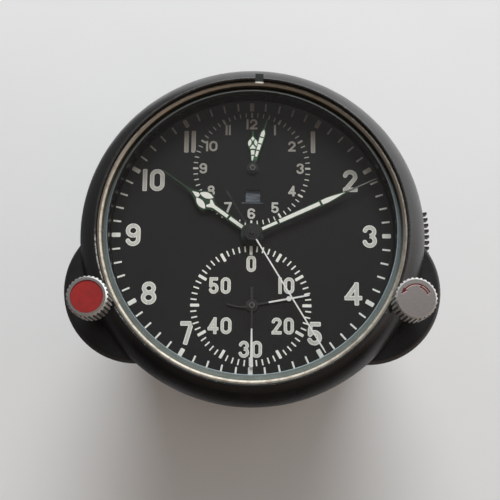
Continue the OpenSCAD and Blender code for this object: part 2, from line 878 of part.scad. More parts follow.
module hairspring() {
  turns = 5;
  band = 0.25;
  color("#4f6f9f") at(balance_pos, hair_bot) linear_extrude(hair_h)
    polygon(spiral_outline(collet_r + run_fit, balance_r - 2.5, turns, band, 20));
}

// Motion work under the dial

module cannon_pinion() {
  color("#c9c9c4") difference() {
    union() {
      rod(cannon_r, plate_top + 0.1, minute_z + hand_t);
      gear(cannon_n, motion_m, plate_top + 0.1, 1.3);
    }
    rod(centre_r + run_fit, -through, through);
  }
}

module minute_wheel() {
  color("#b59a5c") at(minute_pos) difference() {
    union() {
      gear(minute_n, motion_m, plate_top + 0.2, 0.9, in_mesh(minute_angle, 0, cannon_n, minute_n));
      gear(minute_pinion_n, hour_m, plate_top + 1.1, hour_wheel_z + 0.9 - plate_top - 1.1);
    }
    rod(post_r + run_fit, -through, through);
  }
}

module hour_wheel() {
  color("#b59a5c") difference() {
    union() {
      rod(hour_pipe_r, hour_wheel_z, hour_z + hand_t);
      gear(hour_n, hour_m, hour_wheel_z, 0.8, in_mesh(minute_angle + 180, 0, minute_pinion_n, hour_n));
    }
    rod(cannon_r + run_fit, -through, through);
  }
}

// Winding gears between the left stem and the barrel arbor

module winding_pinion() {
  hub_z0 = pocket_floor + 0.2;
  color("#9a9a98") at(left_pos) difference() {
    union() {
      rod(stem_r + 0.2, hub_z0, bush_plate_bot - part_gap);
      gear(winding_pinion_n, winding_m, winding_z0, winding_t);
    }
    translate([0, 0, hub_z0]) cube([square_w + 2 * run_fit, square_w + 2 * run_fit, through], center = true);
  }
}

module winding_wheel() {
  color("#b59a5c") at(winding_pos) difference() {
    gear(winding_n, winding_m, winding_z0, winding_t, winding_turn);
    rod(post_r + run_fit, -through, through);
  }
}

// Flight timer and stopwatch work

module counter_arbor(p, hand_z) {
  at(p) {
    rod(counter_r, plate_bot + 0.3, hand_z + hand_t + 0.1);
    translate([0.7, 0, 0]) rod(2.2, plate_top + 0.2, plate_top + 1.1);
  }
}

module counter_wheel(p, hand_z) {
  at(p) difference() {
    union() {
      rod(counter_pipe_r, plate_top + 1.4, hand_z + hand_t);
      gear(40, 0.2, plate_top + 1.5, 0.6);
    }
    rod(counter_r + run_fit, -through, through);
  }
}

module flight_arbor() {
  color("#c9c9c4") counter_arbor(flight_pos, upper_hand_z);
}

module flight_hour_wheel() {
  color("#b59a5c") counter_wheel(flight_pos, lower_hand_z);
}

module stop_second_arbor() {
  color("#c9c9c4") counter_arbor(stop_pos, upper_hand_z);
}

module stop_minute_wheel() {
  color("#b59a5c") counter_wheel(stop_pos, lower_hand_z);
}

module state_disc() {
  color("#75838f") at(state_pos) {
    rod(state_r, dial_bot - 0.15 - state_t, dial_bot - 0.15);
    rod(state_pivot_r, plate_bot + 0.3, dial_bot - 0.15);
  }
}

// Hands, each drawn along X and turned to its clockwise angle from 12 o'clock

module hand(clock_angle, z, half, hub, bore) {
  translate([0, 0, z]) difference() {
    union() {
      rotate(90 - clock_angle) linear_extrude(hand_t) polygon(mirrored(half));
      cylinder(r = hub, h = hand_t);
    }
    translate([0, 0, -1]) cylinder(r = bore, h = 3);
  }
}

module minute_hand() {
  half = [[0, 0.55], [minute_len * 0.2, 0.65], [minute_len * 0.55, 0.85], [minute_len * 0.64, 0.82],
    [minute_len * 0.76, 0.22], [minute_len, 0.12]];
  color("#2c352f") hand(65.4, minute_z, half, cannon_r + 0.7, cannon_r + run_fit);
}

module hour_hand() {
  k = hour_len / 28;
  half = [[0, 0.75], [11.6 * k, 0.8], [12.9 * k, 1.5], [13.7 * k, 2.45], [14.6 * k, 2.6], [16 * k, 2.2],
    [17.6 * k, 1.1], [18.8 * k, 0.6], [20.4 * k, 0.2], [hour_len, 0.12]];
  color("#2c352f") hand(306, hour_z, half, hour_pipe_r + 0.7, hour_pipe_r + run_fit);
}

module second_hand() {
  tail = second_len * 0.36;
  half = [[-tail, 0.3], [-tail + 1, 0.62], [-tail + 3, 0.62], [-tail + 5, 0.3], [0, 0.3], [second_len, 0.15]];
  color("#d8d6cc") hand(148.8, second_z, half, 2, sweep_r + run_fit);
}

module flight_hour_hand() {
  half = [[0, 0.4], [3.3, 0.55], [4.7, 0.68], [5.2, 0.98], [5.8, 1.25], [6.6, 1.3], [7.5, 0.95],
    [8.5, 0.25], [9.9, 0.1]];
  color("#2c352f") at(flight_pos) hand(0, lower_hand_z, half, counter_pipe_r + 0.5, counter_pipe_r + run_fit);
}

module flight_minute_hand() {
  half = [[0, 0.4], [3, 0.52], [8.4, 0.74], [9.6, 0.7], [10.6, 0.25], [11, 0.12], [13.3, 0.1]];
  color("#2c352f") at(flight_pos) hand(16, upper_hand_z, half, counter_r + 0.6, counter_r + run_fit);
}

module stop_minute_hand() {
  dot = 0.58;
  clock = 79.7;
  dot_at = polar(9.3, 90 - clock);
  half = [[-6.4, 0.2], [-3, 0.42], [0, 0.35], [8, 0.25], [stop_len, 0.15]];
  color("#d8d6cc") at(stop_pos) {
    hand(clock, lower_hand_z, half, counter_pipe_r + 0.5, counter_pipe_r + run_fit);
    at(dot_at) rod(dot, lower_hand_z, lower_hand_z + hand_t);
  }
}

module stop_second_hand() {
  half = [[-4.5, 0.3], [0, 0.25], [5.8, 0.25], [stop_len, 0.42]];
  color("#d8d6cc") at(stop_pos) hand(180, upper_hand_z, half, counter_r + 0.6, counter_r + run_fit);
}

// Knobs and stems

// Outline of the ridged grip
function grip_outline() = let (
  p = 360 / knob_ridges,
  depth = 0.25
) [for (i = [0:knob_ridges - 1], q = [[0, -0.36], [depth, -0.2], [depth, 0.2], [0, 0.36]])
  polar(knob_r - depth + q[0], (i + q[1]) * p)];

module knob(p, recess) {
  edge = 0.5;
  at(p) difference() {
    intersection() {
      translate([0, 0, knob_z0]) linear_extrude(knob_h) polygon(grip_outline());
      rotate_extrude() polygon([[0, knob_z0], [knob_r - edge, knob_z0], [knob_r + eps, knob_z0 + edge],
        [knob_r + eps, knob_z1 - edge], [knob_r - edge, knob_z1], [0, knob_z1]]);
    }
    rod(cavity_r, knob_z0 - 1, knob_z0 + cavity_h);
    rod(stem_r + run_fit, knob_z0 - 1, knob_z0 + cavity_h + grip_len);
    rod(disc_r + run_fit, knob_z1 - recess, knob_z1 + 1);
  }
}

module washer(p) {
  at(p) tube(stem_r + run_fit, cavity_r - part_gap, washer_bot, washer_top);
}

module left_knob() {
  color("#55555a") knob(left_pos, disc_depth);
}

module left_disc() {
  color("#8f2a2a") at(left_pos) rod(disc_r, knob_z1 - disc_depth, knob_z1 - disc_depth + 0.3);
}

module left_washer() {
  color("#9c9c9c") washer(left_pos);
}

module left_stem() {
  square_top = bush_plate_bot - part_gap + press + 0.2;
  square_bot = pocket_floor + 0.4;
  color("#9a9a98") at(left_pos) {
    rod(stem_r, square_top, knob_z0 + cavity_h + grip_len);
    translate([-square_w / 2, -square_w / 2, square_bot])
      cube([square_w, square_w, square_top - square_bot + eps]);
  }
}

module right_knob() {
  color("#55555a") knob(right_pos, 0);
}

module right_washer() {
  color("#9c9c9c") washer(right_pos);
}

module right_stem() {
  color("#9a9a98") at(right_pos) rod(stem_r, pocket_floor + 0.4, knob_z0 + cavity_h + grip_len);
}

case_body();
bezel();
bezel_grub_screws();
glass();
glass_gasket();
glass_ring();
dial();
front_plate();
plate_pillars();
pillar_nuts();
rear_plate();
movement_screws();
escape_cock();
balance_cock();
cock_screws();
stem_bushes();
left_spring();
right_spring();
heater_sleeve();
thermostat();
rear_gasket();
rear_cover();
rear_cover_screws();
connector_insert();
connector_pins();
lock_slide();
sweep_arbor();
second_hand();
centre_arbor();
cannon_pinion();
minute_hand();
hour_wheel();
hour_hand();
minute_wheel();
third_wheel();
barrel();
mainspring();
barrel_arbor();
escape_wheel();
pallet_fork();
balance_wheel();
hairspring();
flight_arbor();
flight_minute_hand();
flight_hour_wheel();
flight_hour_hand();
state_disc();
stop_second_arbor();
stop_second_hand();
stop_minute_wheel();
stop_minute_hand();
winding_pinion();
winding_wheel();
left_washer();
left_knob();
left_disc();
left_stem();
right_washer();
right_knob();
right_stem();
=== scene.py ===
import json
import math

import bpy
from mathutils import Matrix, Vector, geometry


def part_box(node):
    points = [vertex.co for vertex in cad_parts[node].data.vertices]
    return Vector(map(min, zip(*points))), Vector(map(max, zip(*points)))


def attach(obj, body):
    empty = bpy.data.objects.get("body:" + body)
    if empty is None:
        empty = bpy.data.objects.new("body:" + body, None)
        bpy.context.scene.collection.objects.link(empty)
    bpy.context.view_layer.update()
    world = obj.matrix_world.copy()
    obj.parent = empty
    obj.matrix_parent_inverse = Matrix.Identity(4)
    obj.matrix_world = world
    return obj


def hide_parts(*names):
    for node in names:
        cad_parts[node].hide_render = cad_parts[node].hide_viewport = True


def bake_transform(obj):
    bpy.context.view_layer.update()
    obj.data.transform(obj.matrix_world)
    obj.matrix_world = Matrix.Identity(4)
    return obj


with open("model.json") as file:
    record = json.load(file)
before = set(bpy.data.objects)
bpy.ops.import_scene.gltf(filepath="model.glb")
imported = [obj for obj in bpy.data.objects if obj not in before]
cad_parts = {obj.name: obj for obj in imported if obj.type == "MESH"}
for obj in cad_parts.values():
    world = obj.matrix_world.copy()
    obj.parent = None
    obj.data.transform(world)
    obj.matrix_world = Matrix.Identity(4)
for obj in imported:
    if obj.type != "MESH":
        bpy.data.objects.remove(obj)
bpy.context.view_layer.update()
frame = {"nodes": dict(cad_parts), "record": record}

# Lengths are written in millimetres, and MM turns them into Blender's metres.
# The dial faces +Z, 12 o'clock is +Y, and clock angles run clockwise from 12 o'clock in degrees.
MM = 0.001


def top_of(node):
    """Highest Z of a node."""
    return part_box(node)[1].z / MM


def foot_of(node):
    """Lowest Z of a node."""
    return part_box(node)[0].z / MM


def reach_of(node):
    """Largest X of a node, which is the radius of a round piece about the clock's axis."""
    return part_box(node)[1].x / MM


def centre_of(node):
    """Middle of a node in X and Y."""
    low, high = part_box(node)
    return ((low.x + high.x) / 2 / MM, (low.y + high.y) / 2 / MM)


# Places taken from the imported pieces
DIAL_Z = top_of("dial")
GLASS_LOW, GLASS_TOP = foot_of("glass"), top_of("glass")
GLASS_R = reach_of("glass")
LIP_R, LIP_Z = reach_of("glass_ring"), top_of("bezel")
RING_TOP = top_of("glass_ring")
FLIGHT_CENTRE = centre_of("flight_hour_wheel")
STOP_CENTRE = centre_of("stop_minute_wheel")
LEFT_KNOB, RIGHT_KNOB = centre_of("left_knob"), centre_of("right_knob")
KNOB_TOP = top_of("right_knob")
KNOB_R = reach_of("right_knob") - RIGHT_KNOB[0]
FLOOR_Z = foot_of("rear_cover")

# Heights of what is laid on the dial and the hands
PRINT_SINK = 0.01
PRINT_RIM_H = 0.04
PRINT_FILL_H = 0.07
LUME_H = 0.08

# Clock angles of the hands at rest
MINUTE_ANGLE = 65.4
HOUR_ANGLE = 306
SECOND_ANGLE = 148.8
FLIGHT_MINUTE_ANGLE = 16
FLIGHT_HOUR_ANGLE = 0
STOP_MINUTE_ANGLE = 79.7
STOP_SECOND_ANGLE = 180


# Camera, with its turns about X, Y and Z in radians

FOCAL_PX, FRAME_PX = 890, 500
SENSOR_MM = 36
CAMERA_NEAR = 10
CAMERA_AT = (1.4, -48.0, 227.8)
CAMERA_TURNS = {"X": 0.2002, "Y": 0.0087, "Z": 0.0054}


def add_camera():
    """Camera at the photograph's viewing angle."""
    data = bpy.data.cameras.new("camera")
    data.sensor_width = SENSOR_MM
    data.lens = FOCAL_PX / FRAME_PX * SENSOR_MM
    data.clip_start = CAMERA_NEAR * MM
    camera = bpy.data.objects.new("camera", data)
    bpy.context.scene.collection.objects.link(camera)
    pose = Matrix.Translation(Vector(CAMERA_AT) * MM)
    for axis, turn in CAMERA_TURNS.items():
        pose = pose @ Matrix.Rotation(turn, 4, axis)
    camera.matrix_world = pose
    bpy.context.scene.camera = camera


# Material nodes


class Nodes:
    """Short ways to add nodes to a tree, in the coordinates of that space."""

    def __init__(self, tree, space="Object"):
        self.tree = tree
        self.place = self.add("TexCoord").outputs[space]

    def add(self, kind, inputs=None, **settings):
        """A shader node with its inputs, each a value or another node's output."""
        made = self.tree.nodes.new("ShaderNode" + kind)
        for key, value in settings.items():
            setattr(made, key, value)
        for key, value in (inputs or {}).items():
            self.feed(made.inputs[key], value)
        return made

    def feed(self, socket, value):
        if isinstance(value, bpy.types.NodeSocket):
            self.tree.links.new(value, socket)
        else:
            socket.default_value = value

    def math(self, operation, a, b=0.0):
        return self.add("Math", {0: a, 1: b}, operation=operation).outputs[0]

    def times(self, product, *factors):
        for factor in factors:
            product = self.math("MULTIPLY", product, factor)
        return product

    def noise(self, size, detail=3.0, roughness=0.55, place=None):
        """Noise whose blobs are about that many millimetres across."""
        inputs = {"Vector": place or self.place, "Scale": 1 / (size * MM), "Detail": detail,
                  "Roughness": roughness}
        return self.add("TexNoise", inputs).outputs["Fac"]

    def spots(self, size):
        """Distance to the nearest of scattered points that lie about that many millimetres apart."""
        inputs = {"Vector": self.place, "Scale": 1 / (size * MM)}
        return self.add("TexVoronoi", inputs).outputs["Distance"]

    def band(self, value, low, high, to_low=0.0, to_high=1.0):
        """Value taken from one range to another, and held at its ends."""
        inputs = {"Value": value, "From Min": low, "From Max": high, "To Min": to_low, "To Max": to_high}
        return self.add("MapRange", inputs).outputs["Result"]

    def ramp(self, length, start, end):
        """0 to 1 between two lengths in millimetres."""
        return self.band(length, start * MM, end * MM)

    def mix(self, share, a, b):
        """Colour between a and b."""
        made = self.add("Mix", data_type="RGBA")
        for socket, value in ((made.inputs[0], share), (made.inputs[6], a), (made.inputs[7], b)):
            plain = isinstance(value, tuple) and len(value) == 3
            self.feed(socket, (*value, 1) if plain else value)
        return made.outputs[2]

    def axes(self):
        parts = self.add("SeparateXYZ", {0: self.place})
        return parts.outputs[0], parts.outputs[1], parts.outputs[2]

    def radius(self, centre=(0, 0)):
        """Distance from a vertical line, in metres."""
        x, y, _ = self.axes()
        dx = self.math("SUBTRACT", x, centre[0] * MM)
        dy = self.math("SUBTRACT", y, centre[1] * MM)
        return self.math("SQRT", self.math("ADD", self.times(dx, dx), self.times(dy, dy)))


class Shader(Nodes):
    """A material with its Principled node."""

    def __init__(self, name, color, roughness, metallic=0.0, gloss=0.5):
        self.material = bpy.data.materials.new(name)
        self.material.use_nodes = True
        super().__init__(self.material.node_tree)
        self.surface = self.tree.nodes["Principled BSDF"]
        self.set("Base Color", (*color, 1))
        self.set("Roughness", roughness)
        self.set("Metallic", metallic)
        self.set("Specular IOR Level", gloss)

    def set(self, name, value):
        self.feed(self.surface.inputs[name], value)

    def bump(self, height, depth):
        """Relief of that many millimetres from a value between 0 and 1."""
        inputs = {"Height": height, "Distance": depth * MM}
        self.set("Normal", self.add("Bump", inputs).outputs["Normal"])

    def mottled(self, size, a, b):
        """Colour that wanders between a and b in blobs of that many millimetres."""
        return self.mix(self.band(self.noise(size, 5), 0.3, 0.7), a, b)

    def dusty(self, apart, share, color, speck):
        """Colour with faint specks that lie about that many millimetres apart."""
        return self.mix(self.band(self.spots(apart), 0.03, 0.05, share, 0.0), color, speck)

    def uneven(self, size, detail, low, high, top=0.7):
        """Roughness that wanders from low to high, where the noise runs from 0.3 to top."""
        self.set("Roughness", self.band(self.noise(size, detail), 0.3, top, low, high))


# Colours are linear. Shares of LIP_R below say where on the round front a tone changes.
BLACK, BLACK_CLOUD = (0.0035, 0.0035, 0.004), (0.006, 0.006, 0.0065)
CASE_BLACK, CASE_CLOUD = (0.0055, 0.0055, 0.0068), (0.0085, 0.0085, 0.0098)
CASE_SPECK = (0.1, 0.097, 0.094)
BARE_METAL = (0.55, 0.53, 0.5)
NOTCH_X, NOTCH_HALF, NOTCH_Z = 1.6, 1.0, LIP_Z - 2.2
NOTCH_SOFT = 0.02
PAINT_GRAIN, PAINT_RELIEF = 0.35, 0.004


def black_paint():
    """Satin black paint with a fine grain, a few pale specks and uneven gloss."""
    s = Shader("black_paint", BLACK, 0.27)
    cloudy = s.mix(s.noise(9), CASE_BLACK, CASE_CLOUD)
    s.set("Base Color", s.dusty(2.2, 0.25, cloudy, CASE_SPECK))
    s.uneven(4, 5, 0.24, 0.31, 0.75)
    s.bump(s.noise(PAINT_GRAIN, 4), PAINT_RELIEF)
    return s.material


def bezel_paint():
    """The same paint, with wear on the lip's edge and gloss that carries painted reflection and shade:
    stronger at the right, weaker in front near the lip and in the index notch.
    """
    s = Shader("bezel_paint", BLACK, 0.3, gloss=0.6)
    x, y, z = s.axes()
    reach = s.radius()
    # Flecks of bare metal along the lip, most of them at the lower left
    lip = s.times(s.ramp(reach, LIP_R + 0.4, LIP_R + 0.25), s.ramp(z, LIP_Z - 0.3, LIP_Z - 0.2))
    low_left = s.times(s.ramp(x, -0.75 * LIP_R, -0.9 * LIP_R), s.ramp(y, 0.02 * LIP_R, -0.12 * LIP_R))
    flecks = s.math("ADD", s.noise(0.7, 6, 0.7), s.times(low_left, 0.16))
    worn = s.times(lip, s.band(flecks, 0.6, 0.7, 0.0, 0.85))
    s.set("Base Color", s.mix(worn, s.mix(s.noise(9), BLACK, BLACK_CLOUD), BARE_METAL))
    s.set("Metallic", worn)
    s.uneven(5, 5, 0.25, 0.34, 0.75)
    # Painted reflection and shade in the gloss: high at the right, low in front near the lip, and lowest in
    # the notch, where it stands for the slot's shade
    glossy = s.times(s.ramp(x, 0.3 * LIP_R, 0.7 * LIP_R), s.ramp(y, -0.3 * LIP_R, 0.05 * LIP_R))
    dull = s.times(s.ramp(y, -0.45 * LIP_R, -0.8 * LIP_R), s.ramp(reach, LIP_R + 3.6, LIP_R + 2.4))
    gloss = s.math("SUBTRACT", s.band(glossy, 0.0, 1.0, 0.6, 1.0), s.band(dull, 0.0, 1.0, 0.0, 0.42))
    off_notch = s.math("ABSOLUTE", s.math("SUBTRACT", x, NOTCH_X * MM))
    across = s.ramp(off_notch, NOTCH_HALF + NOTCH_SOFT, NOTCH_HALF - NOTCH_SOFT)
    notch = s.times(across, s.ramp(y, 0, 1), s.ramp(z, NOTCH_Z, NOTCH_Z + 0.1))
    s.set("Specular IOR Level", s.times(gloss, s.band(notch, 0.0, 1.0, 1.0, 0.17)))
    s.bump(s.noise(PAINT_GRAIN, 4), PAINT_RELIEF)
    return s.material


def metal(name, bright, dull, roughness, blotch=2.5):
    """Handled metal: blotches of tarnish and a fine grain."""
    s = Shader(name, bright, roughness, 1.0)
    s.set("Base Color", s.mix(s.band(s.noise(blotch, 5, 0.6), 0.35, 0.7), bright, dull))
    s.uneven(blotch * 0.6, 4, roughness * 0.8, roughness * 1.25)
    s.bump(s.noise(0.2, 3), 0.008)
    return s.material


RING_PLATING = (0.6, 0.53, 0.42)
# Painted light and shade of the ring: its flat top is lit in front and shaded behind and at the left, its
# inner slope has a painted highlight in front; the stains are real.
RING_FLAT_SHADE, RING_FLAT_LIT, RING_FLAT_LEFT_SHADE = (0.27, 0.248, 0.213), (0.37, 0.338, 0.288), (0.13, 0.116, 0.098)
RING_STAIN = (0.16, 0.13, 0.1)
SLOPE_SHADE, SLOPE_HIGHLIGHT, SLOPE_STAIN = (0.24, 0.222, 0.188), (0.74, 0.67, 0.56), (0.34, 0.28, 0.21)


def ring_metal():
    """Warm plated ring with stains: a flat top with painted light in front and painted shade behind and at
    the left, and an inner slope with a painted highlight in front.
    """
    s = Shader("ring_metal", RING_PLATING, 0.45, 1.0)
    x, y, z = s.axes()
    stain = s.band(s.noise(1.6, 6, 0.65), 0.45, 0.72)
    # painted light in front and painted shade at the left on the flat top
    near = s.mix(s.ramp(y, -0.6 * LIP_R, -0.95 * LIP_R), RING_FLAT_SHADE, RING_FLAT_LIT)
    top = s.mix(stain, s.mix(s.ramp(x, -0.88 * LIP_R, -0.98 * LIP_R), near, RING_FLAT_LEFT_SHADE), RING_STAIN)
    # painted highlight on the inner slope, strongest in front and towards the left
    front = s.ramp(s.math("ADD", y, s.times(x, 0.3)), 0.4 * LIP_R, -0.2 * LIP_R)
    slope = s.mix(stain, s.mix(front, SLOPE_SHADE, SLOPE_HIGHLIGHT), SLOPE_STAIN)
    s.set("Base Color", s.mix(s.ramp(z, RING_TOP - 0.05, RING_TOP - 0.02), slope, top))
    s.uneven(0.8, 4, 0.4, 0.55)
    s.bump(s.noise(0.4, 5), 0.015)
    return s.material


DIAL_BLACK, DIAL_DARK, DIAL_LIGHT = (0.013, 0.0127, 0.0132), (0.0125, 0.0121, 0.0124), (0.0155, 0.015, 0.0153)
DIAL_SPECK = (0.1, 0.096, 0.092)


def dial_paint():
    """Matt charcoal with faint clouds and specks of dust."""
    s = Shader("dial_paint", DIAL_BLACK, 0.85, gloss=0.15)
    cloudy = s.mix(s.noise(12, 4), DIAL_DARK, DIAL_LIGHT)
    s.set("Base Color", s.dusty(1.9, 0.35, cloudy, DIAL_SPECK))
    s.uneven(3, 4, 0.78, 0.92)
    return s.material


# Heights on the dial between which painted shade darkens and browns the print, standing for the bezel's
# shadow over the top of the dial
PRINT_SHADE_FROM, PRINT_SHADE_TO = 2, 29
LUME_PAINTED_SHADE = (0.19, 0.165, 0.14)


def lume(name, pale, dark, shaded_top=False):
    """Aged luminous paint, slightly mottled and grainy, and with painted shade that darkens and browns it
    towards the top of the dial if so asked.
    """
    s = Shader(name, pale, 0.7, gloss=0.3)
    color = s.mottled(0.8, pale, dark)
    if shaded_top:
        _, y, _ = s.axes()
        # painted shade: the bezel's shadow over the top of the dial
        color = s.mix(s.ramp(y, PRINT_SHADE_FROM, PRINT_SHADE_TO), color, LUME_PAINTED_SHADE)
    s.set("Base Color", color)
    s.bump(s.noise(0.12, 3), 0.015)
    return s.material


ENAMEL_CLOUD, ENAMEL_SHEEN, ENAMEL_GRAIN, ENAMEL_RELIEF = 1.5, 0.9, 0.3, 0.01


def enamel(name, base, shade, roughness, gloss=0.5):
    """Plain enamel with slow changes of shade."""
    s = Shader(name, base, roughness, gloss=gloss)
    s.set("Base Color", s.mottled(ENAMEL_CLOUD, base, shade))
    s.uneven(ENAMEL_SHEEN, 4, roughness * 0.8, roughness * 1.2)
    s.bump(s.noise(ENAMEL_GRAIN, 3), ENAMEL_RELIEF)
    return s.material


# Reach of the dark hubs of the main hands and of the flight hands, and how softly they end
HUB_R, HUB_SOFT = 2.4, 0.6
FLIGHT_HUB_R, FLIGHT_HUB_SOFT = 1.7, 0.4
HUB_BLACK = (0.014, 0.0138, 0.013)


def hand_paint(name, light, dark):
    """Green paint of the hands, near black on their hubs."""
    s = Shader(name, light, 0.45, gloss=0.2)
    green = s.mottled(ENAMEL_CLOUD, dark, light)
    clear = s.ramp(s.radius(), HUB_R, HUB_R + HUB_SOFT)
    clear_above = s.ramp(s.radius(FLIGHT_CENTRE), FLIGHT_HUB_R, FLIGHT_HUB_R + FLIGHT_HUB_SOFT)
    s.set("Base Color", s.mix(s.times(clear, clear_above), HUB_BLACK, green))
    s.uneven(ENAMEL_SHEEN, 4, 0.36, 0.54)
    s.bump(s.noise(ENAMEL_GRAIN, 3), ENAMEL_RELIEF)
    return s.material


CAP_BLACK, CAP_HIGHLIGHT = (0.012, 0.012, 0.0115), (0.12, 0.118, 0.112)


def cap_paint(name, centre):
    """Dark cap of a sub-dial's hands with a painted highlight ring."""
    s = Shader(name, CAP_BLACK, 0.5, gloss=0.25)
    reach = s.radius(centre)
    ring = s.times(s.ramp(reach, 0.38, 0.5), s.ramp(reach, 0.8, 0.68))
    # painted highlight ring, broken up by noise
    highlight_ring = s.times(ring, s.band(s.noise(0.5, 4), 0.3, 0.6, 0.5, 1.0))
    s.set("Base Color", s.mix(highlight_ring, CAP_BLACK, CAP_HIGHLIGHT))
    s.uneven(ENAMEL_SHEEN, 4, 0.4, 0.6)
    return s.material


# Height of the bevel around the top of each knob, and the tones of its parts; the bevel has a painted
# highlight behind and painted shade in front
KNOB_EDGE = 0.5
KNOB_GREY, KNOB_STAIN = (0.54, 0.505, 0.495), (0.48, 0.445, 0.435)
KNOB_EDGE_SHADE, KNOB_EDGE_HIGHLIGHT = (0.26, 0.27, 0.28), (0.88, 0.86, 0.84)
KNOB_GROOVE, KNOB_RIDGE = (0.1, 0.097, 0.093), (0.74, 0.72, 0.7)


def knob_metal():
    """Grey metal with a fine grain, darker in the grooves between the ridges, and a painted highlight on the
    back of the top edge with painted shade on its front.
    """
    s = Shader("knob_metal", KNOB_GREY, 0.29, 1.0)
    _, y, z = s.axes()
    face = s.mix(s.band(s.noise(0.5, 5, 0.6), 0.35, 0.7), KNOB_GREY, KNOB_STAIN)
    # painted highlight behind and painted shade in front on the top edge
    edge = s.mix(s.ramp(y, RIGHT_KNOB[1] - 1.5, RIGHT_KNOB[1] + 0.5), KNOB_EDGE_SHADE, KNOB_EDGE_HIGHLIGHT)
    reach = s.math("MINIMUM", s.radius(LEFT_KNOB), s.radius(RIGHT_KNOB))
    # darker in the grooves, lighter on the ridges
    side = s.mix(s.ramp(reach, KNOB_R - 0.2, KNOB_R - 0.06), KNOB_GROOVE, KNOB_RIDGE)
    below_top = s.ramp(z, KNOB_TOP - 0.005, KNOB_TOP - 0.03)
    on_side = s.ramp(z, KNOB_TOP - KNOB_EDGE, KNOB_TOP - KNOB_EDGE - 0.15)
    s.set("Base Color", s.mix(on_side, s.mix(below_top, face, edge), side))
    s.set("Roughness", s.band(on_side, 0.0, 1.0, 0.27, 0.4))
    s.bump(s.noise(0.3, 3), 0.003)
    return s.material


STATE_BLUE, STATE_DARK, STATE_LIGHT = (0.05, 0.06, 0.08), (0.06, 0.07, 0.085), (0.145, 0.165, 0.19)


def state_paint():
    """Dull blue enamel, worn in streaks along X."""
    s = Shader("state_paint", STATE_BLUE, 0.6, gloss=0.3)
    drawn_out = s.add("VectorMath", {0: s.place, 1: (0.2, 1, 1)}, operation="MULTIPLY").outputs[0]
    streaks = s.band(s.noise(0.45, 4, 0.6, drawn_out), 0.4, 0.62)
    s.set("Base Color", s.mix(streaks, STATE_DARK, STATE_LIGHT))
    s.bump(streaks, 0.01)
    return s.material


def clear_glass():
    """Clear pane: only what its faces reflect adds to what lies behind."""
    s = Shader("clear_glass", (1, 1, 1), 0.02, 1.0)
    facing = s.add("LayerWeight", {"Blend": 0.5}).outputs["Facing"]
    steep = s.math("POWER", facing, 5.0)
    s.set("Alpha", s.band(steep, 0.0, 1.0, 0.035, 0.9))
    s.set("Roughness", s.band(s.noise(14, 3), 0.35, 0.7, 0.015, 0.05))
    return s.material


BEVEL_GREY = (0.3, 0.35, 0.33)
BEVEL_PALE_SHADED, BEVEL_PALE_LIT = (0.115, 0.125, 0.116), (0.61, 0.76, 0.83)
BEVEL_DARK_SHADED, BEVEL_DARK_LIT = (0.077, 0.083, 0.077), (0.49, 0.62, 0.68)


def ground_glass():
    """Ground bevel of the pane: grey-green and speckled, with painted light that makes it paler in front,
    where light leaves the pane.
    """
    s = Shader("ground_glass", BEVEL_GREY, 0.45, gloss=0.3)
    speckle = s.band(s.noise(0.3, 4, 0.7), 0.35, 0.65)
    _, y, _ = s.axes()
    # painted light: paler in front, darker behind
    front = s.ramp(y, 0.4 * GLASS_R, -GLASS_R)
    pale = s.mix(front, BEVEL_PALE_SHADED, BEVEL_PALE_LIT)
    dark = s.mix(front, BEVEL_DARK_SHADED, BEVEL_DARK_LIT)
    s.set("Base Color", s.mix(speckle, dark, pale))
    s.set("Alpha", s.band(speckle, 0.0, 1.0, 0.8, 0.95))
    s.bump(s.noise(0.2, 3), 0.02)
    return s.material


# Flat shapes


def polar(radius, clock, centre=(0, 0)):
    """Point at a radius and a clock angle about a centre."""
    a = math.radians(clock)
    return (centre[0] + radius * math.sin(a), centre[1] + radius * math.cos(a))


def arc(cx, cy, rx, ry, start, end, steps=14):
    """Points along an ellipse, with angles counter-clockwise from +X in degrees."""
    angles = [math.radians(start + (end - start) * i / steps) for i in range(steps + 1)]
    return [(cx + rx * math.cos(a), cy + ry * math.sin(a)) for a in angles]


def turned(points, clock, centre=(0, 0)):
    """An outline drawn along +Y, turned to its clock angle about a centre."""
    c, s = math.cos(math.radians(clock)), math.sin(math.radians(clock))
    return [(centre[0] + x * c + y * s, centre[1] - x * s + y * c) for x, y in points]


def moved(points, by):
    """An outline shifted in X and Y."""
    return [(x + by[0], y + by[1]) for x, y in points]


def mirrored(half):
    """Closed outline from its right half, which runs from its foot to its tip."""
    return list(half) + [(-x, y) for x, y in reversed(half) if x > 0]


CIRCLE_STEPS = 48


def circle(centre, radius):
    """Outline of a disc."""
    return arc(*centre, radius, radius, 0, 360 * (1 - 1 / CIRCLE_STEPS), CIRCLE_STEPS - 1)


# Soft corners of a square end, as a share of the stroke's half width
SOFT_CORNER = 0.3


def cap(point, ahead, half, kind):
    """End of a stroke, from its right side to its left: round, square with soft corners, or flat."""
    side = Vector((-ahead.y, ahead.x))
    if kind == "flat":
        return []
    if kind == "round":
        turns = [math.radians(15 * i) for i in range(-5, 6)]
        return [point + half * (math.cos(t) * ahead + math.sin(t) * side) for t in turns]
    soft = SOFT_CORNER * half
    corners = ((half - soft, -half), (half, soft - half), (half, half - soft), (half - soft, half))
    return [point + a * ahead + b * side for a, b in corners]


def stroke(points, width, start="round", end="round"):
    """Outline of a pen stroke along a line of points."""
    half = width / 2
    line = [Vector(p) for p in points]
    steps = [(b - a).normalized() for a, b in zip(line, line[1:])]
    ahead = [steps[0]] + [(a + b).normalized() for a, b in zip(steps, steps[1:])] + [steps[-1]]
    sides = [half * Vector((-d.y, d.x)) for d in ahead]
    right = [p - s for p, s in zip(line, sides)]
    left = [p + s for p, s in zip(line, sides)]
    ends = cap(line[-1], ahead[-1], half, end), cap(line[0], -ahead[0], half, start)
    return right + ends[0] + left[::-1] + ends[1]


